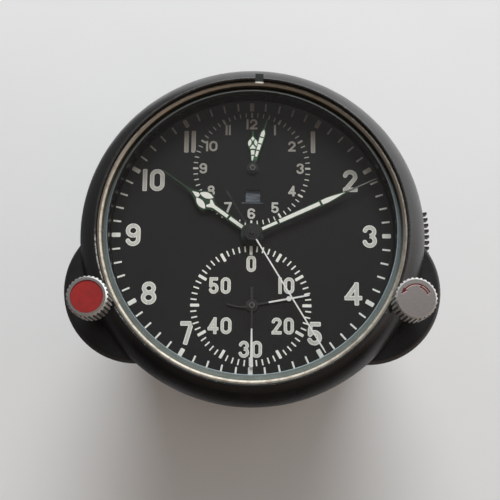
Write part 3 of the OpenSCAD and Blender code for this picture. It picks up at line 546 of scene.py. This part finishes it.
# Settings of Blender's triangulation: it keeps all triangles and joins points that are this close
KEEP_ALL, JOIN_CLOSE = 0, 1e-6


def merged(outlines, cuts=()):
    """Points and triangles of the union of some outlines, without what the cuts cover."""
    points, loops = [], []
    for outline in [*outlines, *cuts]:
        flat = [Vector((p[0], p[1])) for p in outline]
        area = sum(a.x * b.y - b.x * a.y for a, b in zip(flat, flat[1:] + flat[:1]))
        loops.append([len(points) + i for i in range(len(flat))])
        points += flat if area > 0 else flat[::-1]
    found = geometry.delaunay_2d_cdt(points, [], loops, KEEP_ALL, JOIN_CLOSE)
    spots, triangles, owners = found[0], found[2], found[5]
    return spots, [t for t, own in zip(triangles, owners) if own and max(own) < len(outlines)]


# Pieces


def new_piece(name, coords, faces, material):
    """A mesh from points in millimetres."""
    mesh = bpy.data.meshes.new(name)
    mesh.from_pydata([Vector(c) * MM for c in coords], [], faces)
    mesh.materials.append(material)
    mesh.validate()
    piece = bpy.data.objects.new(name, mesh)
    bpy.context.scene.collection.objects.link(piece)
    return piece


def add_piece(name, coords, faces, material, body):
    """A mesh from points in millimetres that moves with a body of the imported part."""
    piece = new_piece(name, coords, faces, material)
    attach(piece, body)
    return piece


def plate(name, shapes, z0, z1, material, body):
    """Flat closed piece from one or more merged shapes."""
    coords, faces = [], []
    for spots, triangles in shapes:
        used = sorted({i for t in triangles for i in t})
        low = {v: len(coords) + k for k, v in enumerate(used)}
        count = len(used)
        coords += [(*spots[i], z) for z in (z0, z1) for i in used]
        rims = {(t[k], t[(k + 1) % 3]) for t in triangles for k in range(3)}
        for t in triangles:
            a, b, c = (low[i] for i in t)
            faces += [(a + count, b + count, c + count), (c, b, a)]
        for a, b in sorted(rims):
            if (b, a) not in rims:
                faces.append((low[a], low[b], low[b] + count, low[a] + count))
    return add_piece(name, coords, faces, material, body)


def laid(name, shapes, z, height, material, body):
    """Thin plate that lies on a face at height z."""
    plate(name, shapes, z - PRINT_SINK, z + height, material, body)


# Angles between faces, in degrees, from which an edge of a turned piece or a coil is sharp
TURNED_SHARP, COIL_SHARP = 30, 50


def smooth(piece, sharp):
    """Smooth shading with sharp edges."""
    piece.data.shade_smooth()
    piece.data.set_sharp_from_angle(angle=math.radians(sharp))


def lathe(name, profile, material, body, centre=(0, 0), steps=192):
    """Piece turned from a profile of (radius, z) points, from the axis or round in a loop."""
    coords, faces, rings = [], [], []
    for radius, z in profile:
        count = steps if radius > 0 else 1
        rings.append((len(coords), count))
        coords += [(*polar(radius, -360 * i / steps, centre), z) for i in range(count)]
    pairs = list(zip(rings, rings[1:]))
    if profile[0][0] > 0:
        pairs.append((rings[-1], rings[0]))
    for (a, na), (b, nb) in pairs:
        for i in range(steps):
            j = (i + 1) % steps
            corners = [a + i % na, a + j % na, b + j % nb, b + i % nb]
            face = list(dict.fromkeys(corners))
            if len(face) > 2:
                faces.append(face)
    piece = add_piece(name, coords, faces, material, body)
    smooth(piece, TURNED_SHARP)
    return piece


# Numbers


def oval(cx, cy, rx, ry):
    """Closed ring as two half strokes."""
    return [(arc(cx, cy, rx, ry, 90, -90), "flat", "flat"), (arc(cx, cy, rx, ry, 90, 270), "flat", "flat")]


def digit_lines(digit, w, h):
    """Pen strokes of a digit whose centre lines fill a box of that width and height about the origin."""
    r, t = w / 2, h / 2
    # Half heights of the lower and the upper bowl of a 3 or an 8
    low, up = 0.53 * t, 0.47 * t
    if digit == "0":
        right = arc(0, t - r, r, r, 90, 0) + arc(0, r - t, r, r, 0, -90)
        return [(right, "flat", "flat"), ([(-x, y) for x, y in right], "flat", "flat")]
    if digit == "1":
        return [([(0, t), (0, -t)], "square", "square")]
    if digit == "2":
        bow = arc(0, t - r, r, r, 165, -20)
        return [(bow + [(-r * 0.95, -t)], "round", "flat"), ([(-r, -t), (r, -t)], "square", "square")]
    if digit == "3":
        top = arc(0, t - up, 0.92 * r, up, 165, -90)
        return [(top, "round", "flat"), (arc(0, low - t, r, low, 90, -165), "flat", "round")]
    if digit == "4":
        bar, post = -0.45 * t, 0.5 * r
        return [([(post, t), (post, -t)], "square", "square"), ([(-r, bar), (r, bar)], "square", "square"),
                ([(post, t), (-r, bar)], "flat", "flat")]
    if digit == "5":
        bowl = 0.58 * t
        return [([(-0.75 * r, t), (0.8 * r, t)], "square", "square"),
                ([(-0.75 * r, t), (-0.82 * r, 0.12 * t)], "flat", "round"),
                (arc(0, bowl - t, r, bowl, 145, -155), "round", "round")]
    if digit == "7":
        return [([(-r, t), (r, t)], "square", "square"), ([(r, t), (-0.25 * r, -t)], "flat", "square")]
    if digit == "8":
        return oval(0, t - up, 0.88 * r, up) + oval(0, low - t, r, low)
    bowl = 0.54 * t
    nine = oval(0, t - bowl, r, bowl)
    nine.append(([(r, t - bowl)] + arc(0, 0.52 * t - t, r, 0.52 * t, 0, -160), "flat", "round"))
    if digit == "9":
        return nine
    return [([(-x, -y) for x, y in line], start, end) for line, start, end in nine]


# Width of a 1 and gap between digits, as shares of the pen's width
ONE_SHARE, GAP_SHARE = 1.02, 0.62


def number_strokes(text, centre, width, height, pen, thin):
    """Outlines of a number in a box about a centre; thin narrows the pen on each side."""
    narrow = pen * ONE_SHARE
    ones = text.count("1")
    gap = pen * GAP_SHARE
    wide = (width - ones * narrow - gap * (len(text) - 1)) / max(1, len(text) - ones)
    outlines, x = [], centre[0] - width / 2
    for digit in text:
        w = narrow if digit == "1" else wide
        for line, start, end in digit_lines(digit, w - pen, height - pen):
            outlines.append(stroke(moved(line, (x + w / 2, centre[1])), pen - 2 * thin, start, end))
        x += w + gap
    return outlines


def print_numbers(name, numbers, height, pen, rim, cuts=()):
    """Printed numbers as a pale rim with a slightly greyer fill on it."""
    for part, thin, z in (("rims", 0.0, PRINT_RIM_H), ("fills", rim, PRINT_FILL_H)):
        shapes = []
        for text, centre, width in numbers:
            shapes.append(merged(number_strokes(text, centre, width, height, pen, thin), cuts))
        laid(f"{name}_{part}", shapes, DIAL_Z, z, FINISH["print_" + part], "case")


def track(name, centre, marks):
    """Ring of 60 marks, each of the first kind that divides its number.

    A kind is (every, inner radius, outer radius, width).
    """
    shapes = []
    for i in range(60):
        inner, outer, width = next(m[1:] for m in marks if i % m[0] == 0)
        half = width / 2
        bar = stroke([(0, inner + half), (0, outer - half)], width, "square", "square")
        shapes.append(merged([turned(bar, 6 * i, centre)]))
    laid(name, shapes, DIAL_Z, PRINT_RIM_H, FINISH["print_rims"], "case")


# The printing sits a little to the left of the clock's axis.
PRINT_X = -0.26
# Radius of the sub-dials, which the hour numbers leave clear
SUB_EDGE = 15.2

# Hours as number, clock angle, radius and width; 1, 5, 7 and 11 stand alike on both sides
HOUR_H, HOUR_PEN, HOUR_RIM = 5.8, 1.12, 0.2
HOUR_R = 29.15
HOUR_SIDE = 32.5
HOURS = (("1", HOUR_SIDE, HOUR_R, 1.12), ("2", 60.2, 28.85, 3.7), ("3", 90.2, 29.7, 3.65),
         ("4", 120, 29.3, 4.4), ("5", 180 - HOUR_SIDE, HOUR_R, 3.7), ("7", 180 + HOUR_SIDE, HOUR_R, 3.3),
         ("8", 239.8, 29.3, 3.85), ("9", 270.1, 29.7, 3.75), ("10", 299.9, 28.75, 5.6),
         ("11", 360 - HOUR_SIDE, HOUR_R, 3.35))
HOUR_MARKS = ((5, 32.85, 35.05, 1.1), (1, 33.0, 35.0, 0.45))

# Flight hours: 3 and 9 stand a little further out, and most numbers have the same width
FLIGHT_H, FLIGHT_PEN, FLIGHT_RIM = 2.75, 0.5, 0.06
FLIGHT_R, FLIGHT_SIDE_R = 11.85, 12.35
FLIGHT_WIDTH = 1.9
FLIGHT_WIDTHS = {"1": 0.52, "10": 2.9, "11": 1.7, "12": 2.8}
FLIGHT_MARKS = ((5, 13.6, 14.95, 0.5), (1, 13.75, 14.9, 0.26))

# Stopwatch seconds as number, place about the sub-dial's middle and width
STOP_H, STOP_PEN, STOP_RIM = 4.15, 0.82, 0.14
STOPS = (("0", (0.05, 10.5), 2.4), ("10", (8.8, 5.0), 3.95), ("20", (7.9, -5.05), 5.5),
         ("30", (-0.05, -10.8), 5.75), ("40", (-7.65, -5.05), 5.9), ("50", (-7.75, 4.95), 5.5))
STOP_MARKS = ((5, 12.75, 15.0, 0.74), (1, 13.5, 15.0, 0.36))

WINDOW_LINE, WINDOW_LINE_W = ((-2.65, 8.43), (2.65, 8.43)), 0.2


def print_dial():
    """Numbers and tracks of the dial and its sub-dials, and the line below the window."""
    flight_mid = (FLIGHT_CENTRE[0] + PRINT_X, FLIGHT_CENTRE[1])
    stop_mid = (STOP_CENTRE[0] + PRINT_X, STOP_CENTRE[1])
    middle = (PRINT_X, 0)
    sub_dials = [circle(flight_mid, SUB_EDGE), circle(stop_mid, SUB_EDGE)]
    hours = [(text, polar(radius, clock, middle), width) for text, clock, radius, width in HOURS]
    print_numbers("hour_numbers", hours, HOUR_H, HOUR_PEN, HOUR_RIM, sub_dials)
    track("minute_track", middle, HOUR_MARKS)
    flight = []
    for i in range(12):
        text = str(i or 12)
        place = polar(FLIGHT_SIDE_R if i in (3, 9) else FLIGHT_R, 30 * i, flight_mid)
        flight.append((text, place, FLIGHT_WIDTHS.get(text, FLIGHT_WIDTH)))
    print_numbers("flight_numbers", flight, FLIGHT_H, FLIGHT_PEN, FLIGHT_RIM)
    track("flight_track", flight_mid, FLIGHT_MARKS)
    stops = [(text, moved([place], stop_mid)[0], width) for text, place, width in STOPS]
    print_numbers("stop_numbers", stops, STOP_H, STOP_PEN, STOP_RIM)
    track("stop_track", stop_mid, STOP_MARKS)
    line = merged([stroke(WINDOW_LINE, WINDOW_LINE_W, "square", "square")])
    laid("window_line", [line], DIAL_Z, PRINT_RIM_H, SLOT_FINISH["state_blue"], "case")


# Hands

# Right halves of outlines drawn along a hand, as (half width, distance from its axis)
MINUTE_FIELDS = (((0.35, 2.75), (0.36, 6.8)), ((0.46, 7.4), (0.48, 18.5)),
                 ((0.56, 19.1), (0.6, 20.6), (0.45, 22.2), (0.0, 25.6)))
MINUTE_POINT = ((0.12, 26.2), (0.12, 33.8), (0.06, 34.4))
HOUR_FIELDS = (((0.42, 3.0), (0.42, 7.0)),
               ((0.42, 7.6), (0.43, 11.9), (0.62, 12.4), (1.15, 13.3), (0.9, 13.75), (0.0, 13.2)),
               ((0.4, 16.6), (0.62, 17.2), (0.0, 18.8)))
FLIGHT_HOUR_FIELDS = (((0.3, 1.95), (0.34, 3.15)), ((0.42, 3.5), (0.45, 4.65)),
                      ((0.68, 5.1), (0.74, 5.3), (0.05, 6.15)), ((0.04, 7.2), (0.45, 7.75), (0.0, 8.35)))
FLIGHT_MINUTE_FIELDS = (((0.28, 3.0), (0.33, 4.5)), ((0.4, 4.85), (0.45, 6.35)),
                        ((0.46, 6.7), (0.5, 8.15)), ((0.5, 8.5), (0.46, 9.6), (0.0, 10.5)))
NEEDLE = ((0.17, 1.7), (0.17, 33.5), (0.1, 34.5))
NEEDLE_TAIL = ((0.0, -12.7), (0.22, -12.4), (0.26, -11.2), (0.12, -9.6), (0.16, 0.0))
STOP_MINUTE_POINTER = ((0.2, 4.2), (0.22, 9.0), (0.18, 14.2), (0.07, 14.5))
STOP_MINUTE_NECK = ((0.2, 0), (0.22, 4.25))
STOP_SECOND_POINTER = ((0.18, 5.8), (0.22, 8.0), (0.4, 15.2))
STOP_SECOND_NECK = ((0.3, -4.5), (0.25, 0), (0.2, 5.85))

# The pair of leaf-shaped fields of an hour hand: foot, tip and half width of the right one
HOUR_LEAF = ((1.75, 13.4), (0.75, 16.9), 0.78)
FLIGHT_HOUR_LEAF = ((0.95, 5.75), (0.62, 7.55), 0.42)
LEAF_STEPS, LEAF_FULLNESS = 16, 0.8


def leaf(side, foot, tip, half):
    """One of a pair of leaf-shaped fields; side is 1 at the right and -1 at the left."""
    foot, tip = Vector((side * foot[0], foot[1])), Vector((side * tip[0], tip[1]))
    across = Vector((foot - tip).orthogonal()).normalized()
    shares = [i / LEAF_STEPS for i in range(LEAF_STEPS + 1)]
    line = [(foot.lerp(tip, t), half * math.sin(math.pi * t) ** LEAF_FULLNESS * across) for t in shares]
    return [tuple(p + b) for p, b in line] + [tuple(p - b) for p, b in line[-2:0:-1]]


def inlay(name, halves, clock, node, body, centre=(0, 0), leaves=()):
    """Luminous fields let into a hand: right halves drawn along it, and a pair of leaves if given."""
    fields = [mirrored(half) for half in halves]
    if leaves:
        fields += [leaf(side, *leaves) for side in (1, -1)]
    shapes = [merged([turned(field, clock, centre)]) for field in fields]
    laid(name, shapes, top_of(node), LUME_H, FINISH["lume"], body)


def dress_hands():
    """Luminous fields on the hour and minute hands, and a grey line on the minute hand's point."""
    inlay("minute_hand_lume", MINUTE_FIELDS, MINUTE_ANGLE, "minute_hand", "minutes")
    point = merged([turned(mirrored(MINUTE_POINT), MINUTE_ANGLE)])
    laid("minute_hand_point", [point], top_of("minute_hand"), PRINT_RIM_H, FINISH["hand_grey"], "minutes")
    inlay("hour_hand_lume", HOUR_FIELDS, HOUR_ANGLE, "hour_hand", "hours", leaves=HOUR_LEAF)
    inlay("flight_hour_lume", FLIGHT_HOUR_FIELDS, FLIGHT_HOUR_ANGLE, "flight_hour_hand", "flight_hours",
          FLIGHT_CENTRE, FLIGHT_HOUR_LEAF)
    inlay("flight_minute_lume", FLIGHT_MINUTE_FIELDS, FLIGHT_MINUTE_ANGLE, "flight_minute_hand",
          "flight_minutes", FLIGHT_CENTRE)


# Profiles of the caps on the hubs, as (radius, height); the sweep hand's has a crown on its arbor's end
SECOND_HUB_R = 2.0
CROWN_RISE = 0.05
SECOND_CROWN = ((0, 0), (0.5, 0), (0.62, -0.1))
SECOND_CAP = ((0.7, 0.3), (1.15, 0.3), (1.25, 0.22), (1.3, 0.12), (1.75, 0.12), (1.9, 0), (0, -0.02))
COUNTER_CAP = ((0, 0.3), (0.35, 0.28), (0.45, 0.16), (0.8, 0.16), (0.95, 0), (0, -0.02))


def raised(profile, z):
    """A profile lifted to height z."""
    return [(radius, z + height) for radius, height in profile]


def second_hand():
    """Thin white needle with a dark hub and tail."""
    z0, z1 = foot_of("second_hand"), top_of("second_hand")
    needle = merged([turned(mirrored(NEEDLE), SECOND_ANGLE)])
    plate("second_needle", [needle], z0, z1, FINISH["hand_white"], "sweep")
    tail = merged([turned(mirrored(NEEDLE_TAIL), SECOND_ANGLE), circle((0, 0), SECOND_HUB_R)])
    hub = plate("second_hub", [tail], z0, z1, FINISH["hand_dark"], "sweep")
    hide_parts("second_hand")
    profile = raised(SECOND_CROWN, top_of("sweep_arbor") + CROWN_RISE) + raised(SECOND_CAP, z1)
    lathe("second_cap", profile, FINISH["hand_dark"], "sweep", steps=64)


# Stopwatch minute hand: its dot, its hub with a bore, and the middle line and width of its bent tail
STOP_DOT_AT, STOP_DOT_R = 9.3, 0.62
STOP_MINUTE_HUB_R, STOP_MINUTE_BORE_R = 1.5, 0.56
STOP_TAIL = ((0, 0), (0.1, -1.5), (-0.1, -2.9), (-0.73, -4.6), (-1.35, -5.9))
STOP_TAIL_W = 0.4
STOP_SECOND_HUB_R = 1.1


def stop_hand(node, body, clock, pointer, dots, grips, hub_r, bores):
    """Stopwatch hand: a white pointer on a grey hub; dots, bores and grips are further outlines."""
    z0, z1 = foot_of(node), top_of(node)
    name = node.removesuffix("_hand")
    white = merged([turned(mirrored(pointer), clock, STOP_CENTRE), *dots])
    plate(name + "_pointer", [white], z0, z1, FINISH["hand_white"], body)
    grey = [turned(grip, clock, STOP_CENTRE) for grip in grips] + [circle(STOP_CENTRE, hub_r)]
    hub = plate(name + "_hub", [merged(grey, bores)], z0, z1, FINISH["tail_grey"], body)
    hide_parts(node)


def stop_hands():
    """Both hands of the stopwatch; the minute hand has a dot and a bent tail."""
    dot = circle(polar(STOP_DOT_AT, STOP_MINUTE_ANGLE, STOP_CENTRE), STOP_DOT_R)
    bore = circle(STOP_CENTRE, STOP_MINUTE_BORE_R)
    stop_hand("stop_minute_hand", "stop_minutes", STOP_MINUTE_ANGLE, STOP_MINUTE_POINTER, [dot],
              [stroke(STOP_TAIL, STOP_TAIL_W), mirrored(STOP_MINUTE_NECK)], STOP_MINUTE_HUB_R, [bore])
    stop_hand("stop_second_hand", "stop_seconds", STOP_SECOND_ANGLE, STOP_SECOND_POINTER, [],
              [mirrored(STOP_SECOND_NECK)], STOP_SECOND_HUB_R, [])


def counter_cap(name, centre, node, body):
    """Small turned cap on the hub of a sub-dial."""
    lathe(name, raised(COUNTER_CAP, top_of(node)), FINISH[name], body, centre, steps=48)


# Glass, knobs and floor

# Ground bevel of the pane, with a small rounded edge; a face is flat where its normal's Z is past FLAT_FROM
BEVEL_IN_R = 35.3
BEVEL_LOW = 15.1
BEVEL_EDGE, BEVEL_EDGE_H = 0.18, 0.06
FLAT_FROM = 0.98


def dress_glass():
    """Glass with a clear face and a ground bevel."""
    profile = [(0, GLASS_TOP), (BEVEL_IN_R - BEVEL_EDGE, GLASS_TOP), (BEVEL_IN_R, GLASS_TOP - BEVEL_EDGE_H),
               (GLASS_R, BEVEL_LOW), (GLASS_R, GLASS_LOW), (0, GLASS_LOW)]
    glass = lathe("glass_pane", profile, FINISH["clear_glass"], "case")
    glass.data.materials.append(FINISH["ground_glass"])
    for face in glass.data.polygons:
        flat = abs(face.normal.z) > FLAT_FROM
        face.material_index = 0 if flat else 1
        face.use_smooth = not flat
    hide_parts("glass")


# Arrow on the right knob: an arc with a head and a second, inner tail, with angles from +X in degrees
ARROW_R, ARROW_W, ARROW_SPAN = 3.25, 0.3, (25, 140)
ARROW_TAIL_IN, ARROW_TAIL_SPAN = 0.55, (22, 68)
ARROW_LINK_CLOCK = 22
ARROW_HEAD_HALF, ARROW_HEAD_LENGTH = 0.55, 1.5
ARROW_HIGHLIGHT_SHIFT = (0.04, -0.15)


def knob_arrow():
    """Plain dark red arrow that points the way the right knob turns, with a painted highlight along its lower
    edge.
    """
    line = arc(*RIGHT_KNOB, ARROW_R, ARROW_R, *ARROW_SPAN, steps=24)
    shaft = stroke(line, ARROW_W, "square", "flat")
    inner = ARROW_R - ARROW_TAIL_IN
    tail_line = arc(*RIGHT_KNOB, inner, inner, *ARROW_TAIL_SPAN, steps=12)
    tail = stroke(tail_line, ARROW_W, "square", "square")
    link = stroke([polar(radius, ARROW_LINK_CLOCK, RIGHT_KNOB) for radius in (ARROW_R, inner)], ARROW_W)
    root = Vector(line[-1])
    ahead = (root - Vector(line[-2])).normalized()
    side = ARROW_HEAD_HALF * Vector((-ahead.y, ahead.x))
    head = [root + side, root - side, root + ahead * ARROW_HEAD_LENGTH]
    arrow = [shaft, tail, link, head]
    laid("turn_arrow", [merged(arrow)], KNOB_TOP, PRINT_RIM_H, FINISH["arrow_red"], "right_knob")
    # painted highlight along the arrow's lower edges
    edge_highlights = [moved(outline, ARROW_HIGHLIGHT_SHIFT) for outline in arrow]
    laid("turn_arrow_highlight", [merged(edge_highlights)], KNOB_TOP, PRINT_RIM_H / 2, FINISH["arrow_highlight"], "right_knob")


SPRING_WIRE_R = 0.3
SPRING_TURNS = 5
SPRING_STEPS, SPRING_SIDES = 24, 10


def return_spring(side):
    """Helical spring under a knob, built at rest in place of the imported spring and not attached to the
    knob.
    """
    node = side + "_spring"
    low, high = foot_of(node), top_of(node)
    x, y = centre_of(node)
    radius = reach_of(node) - x - SPRING_WIRE_R
    count = SPRING_TURNS * SPRING_STEPS
    rise = (high - low - 2 * SPRING_WIRE_R) / count
    coords, faces = [], []
    for i in range(count + 1):
        turn = math.tau * i / SPRING_STEPS
        middle = low + SPRING_WIRE_R + rise * i
        for k in range(SPRING_SIDES):
            around = math.tau * k / SPRING_SIDES
            reach = radius + SPRING_WIRE_R * math.cos(around)
            coords.append((x + reach * math.cos(turn), y + reach * math.sin(turn),
                           middle + SPRING_WIRE_R * math.sin(around)))
    for i in range(count):
        for k in range(SPRING_SIDES):
            a, b = i * SPRING_SIDES + k, i * SPRING_SIDES + (k + 1) % SPRING_SIDES
            faces.append([a, a + SPRING_SIDES, b + SPRING_SIDES, b])
    faces.append(list(range(SPRING_SIDES)))
    faces.append([count * SPRING_SIDES + k for k in reversed(range(SPRING_SIDES))])
    coil = new_piece(side + "_coil", coords, faces, SLOT_FINISH["steel"])
    smooth(coil, COIL_SHARP)
    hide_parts(node)
    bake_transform(coil)


FLOOR_HALF = 900
FLOOR_GREY, FLOOR_SHADE, FLOOR_LIGHT = (0.76, 0.755, 0.75), (0.745, 0.75, 0.75), (0.785, 0.79, 0.79)
# In reflections the floor is dark past these places, as the room is on the left and in front.
DARK_LEFT = (-65, -100)
DARK_FRONT = (-110, -190)
DARK_LEFT_SHARE = 0.85
DARK_ROOM = (0.02, 0.02, 0.022)


def add_floor():
    """Plain pale floor under the clock."""
    mesh = bpy.data.meshes.new("floor")
    corners = [(-FLOOR_HALF, -FLOOR_HALF), (FLOOR_HALF, -FLOOR_HALF), (FLOOR_HALF, FLOOR_HALF),
               (-FLOOR_HALF, FLOOR_HALF)]
    mesh.from_pydata([Vector((x, y, FLOOR_Z)) * MM for x, y in corners], [], [(0, 1, 2, 3)])
    s = Shader("floor_paper", FLOOR_GREY, 0.75, gloss=0.2)
    paper = s.mix(s.noise(40, 4), FLOOR_SHADE, FLOOR_LIGHT)
    x, y, _ = s.axes()
    dark = s.math("MAXIMUM", s.times(s.ramp(x, *DARK_LEFT), DARK_LEFT_SHARE), s.ramp(y, *DARK_FRONT))
    reflected = s.add("LightPath").outputs["Is Glossy Ray"]
    s.set("Base Color", s.mix(s.times(reflected, dark), paper, DARK_ROOM))
    mesh.materials.append(s.material)
    floor = bpy.data.objects.new("floor", mesh)
    bpy.context.scene.collection.objects.link(floor)


# Light

# Round lamp behind the clock, as a window of the room, with its power in watts
LAMP_AT, LAMP_SIZE, LAMP_POWER = (44, 515, 615), 460, 5.4
LAMP_COLOR = (0.945, 0.978, 1.0)
# Light of the room: its strength from horizon to zenith, left to right and front to back, and its colours
ROOM_RISE, ROOM_SIDE, ROOM_DEPTH = (0.86, 0.15), (0.4, 1.7), (0.82, 1.25)
ROOM_FRONT, ROOM_BACK = (1.0, 0.81, 0.68), (0.95, 0.98, 1.0)


def add_lamp():
    """The room's window, aimed at the clock."""
    data = bpy.data.lights.new("window", "AREA")
    data.shape = "DISK"
    data.size = LAMP_SIZE * MM
    data.energy = LAMP_POWER
    data.color = LAMP_COLOR
    lamp = bpy.data.objects.new("window", data)
    bpy.context.scene.collection.objects.link(lamp)
    lamp.location = Vector(LAMP_AT) * MM
    lamp.rotation_mode = "QUATERNION"
    lamp.rotation_quaternion = (-Vector(LAMP_AT)).to_track_quat("-Z", "Y")


def add_room():
    """A room that is bright near the horizon, more so at the right and behind."""
    world = bpy.data.worlds.new("room")
    bpy.context.scene.world = world
    world.use_nodes = True
    room = Nodes(world.node_tree, "Generated")
    x, y, z = room.axes()
    strength = room.times(room.band(z, 0.0, 1.0, *ROOM_RISE), room.band(x, -1.0, 1.0, *ROOM_SIDE),
                          room.band(y, -1.0, 1.0, *ROOM_DEPTH))
    sky = world.node_tree.nodes["Background"]
    room.feed(sky.inputs["Color"], room.mix(room.band(y, -0.6, 0.6), ROOM_FRONT, ROOM_BACK))
    room.feed(sky.inputs["Strength"], strength)


# Finishes of the added pieces, mostly as a base colour, a second shade and a roughness
FINISH = {
    "print_rims": lume("print_rim", (0.9, 0.91, 0.84), (0.81, 0.82, 0.75), True),
    "print_fills": lume("print_fill", (0.64, 0.64, 0.58), (0.55, 0.545, 0.49), True),
    "lume": lume("hand_lume", (0.85, 0.865, 0.79), (0.77, 0.78, 0.71)),
    "hand_white": enamel("hand_white", (0.86, 0.86, 0.83), (0.75, 0.75, 0.72), 0.5),
    "hand_grey": enamel("hand_grey", (0.17, 0.17, 0.155), (0.12, 0.12, 0.11), 0.5),
    "hand_dark": enamel("hand_dark", (0.01, 0.0105, 0.01), (0.014, 0.0145, 0.014), 0.5, 0.25),
    "tail_grey": enamel("tail_grey", (0.032, 0.03, 0.029), (0.023, 0.022, 0.021), 0.5, 0.25),
    "flight_cap": cap_paint("flight_cap", FLIGHT_CENTRE),
    "stop_cap": cap_paint("stop_cap", STOP_CENTRE),
    "clear_glass": clear_glass(),
    "ground_glass": ground_glass(),
    "arrow_red": enamel("arrow_red", (0.1, 0.009, 0.009), (0.075, 0.007, 0.007), 0.5, 0.25),
    # colour of the painted highlight under the knob's arrow
    "arrow_highlight": enamel("arrow_highlight", (0.6, 0.42, 0.4), (0.5, 0.36, 0.34), 0.5),
    "red_paint": enamel("red_enamel", (0.3, 0.016, 0.014), (0.23, 0.014, 0.013), 0.5, 0.25),
}

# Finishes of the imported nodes, by their material slots
SLOT_FINISH = {
    "black_paint": black_paint(),
    "glass": FINISH["clear_glass"],
    "rubber": enamel("rubber", (0.012, 0.012, 0.012), (0.02, 0.02, 0.02), 0.85),
    "ring_metal": ring_metal(),
    "dial_black": dial_paint(),
    "brass": metal("brass", (0.62, 0.46, 0.2), (0.42, 0.3, 0.12), 0.3),
    "steel": metal("steel", (0.58, 0.57, 0.55), (0.36, 0.35, 0.33), 0.32),
    "blued_steel": metal("blued_steel", (0.08, 0.12, 0.24), (0.05, 0.07, 0.14), 0.28),
    "hand_green": hand_paint("hand_green", (0.016, 0.048, 0.02), (0.011, 0.036, 0.014)),
    "hand_white": FINISH["hand_white"],
    "state_blue": state_paint(),
    "heater": enamel("heater_cloth", (0.2, 0.12, 0.06), (0.13, 0.075, 0.035), 0.8),
    "insulator": enamel("brown_resin", (0.09, 0.04, 0.018), (0.06, 0.025, 0.012), 0.35),
    "contact": metal("contact", (0.66, 0.52, 0.26), (0.46, 0.36, 0.18), 0.25),
    "knob_metal": knob_metal(),
    "red_paint": FINISH["red_paint"],
    "lock_metal": metal("lock_metal", (0.05, 0.042, 0.035), (0.025, 0.02, 0.017), 0.45, 1.0),
}

# Nodes with a finish of their own
FLIGHT_GREEN = hand_paint("flight_green", (0.02, 0.1, 0.03), (0.014, 0.07, 0.02))
NODE_FINISH = {"bezel": bezel_paint(), "flight_hour_hand": FLIGHT_GREEN, "flight_minute_hand": FLIGHT_GREEN}


def dress_nodes():
    """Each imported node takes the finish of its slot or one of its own."""
    for part in frame["record"]["subparts"]:
        for slot in frame["nodes"][part["node"]].material_slots:
            slot.link = "OBJECT"
            slot.material = NODE_FINISH.get(part["node"], SLOT_FINISH[part["material_slot"]])


add_camera()
dress_nodes()
print_dial()
dress_hands()
second_hand()
stop_hands()
counter_cap("flight_cap", FLIGHT_CENTRE, "flight_minute_hand", "flight_minutes")
counter_cap("stop_cap", STOP_CENTRE, "stop_second_hand", "stop_seconds")
dress_glass()
knob_arrow()
return_spring("left")
return_spring("right")
add_floor()
add_lamp()
add_room()
bpy.context.scene.view_settings.view_transform = "Standard"
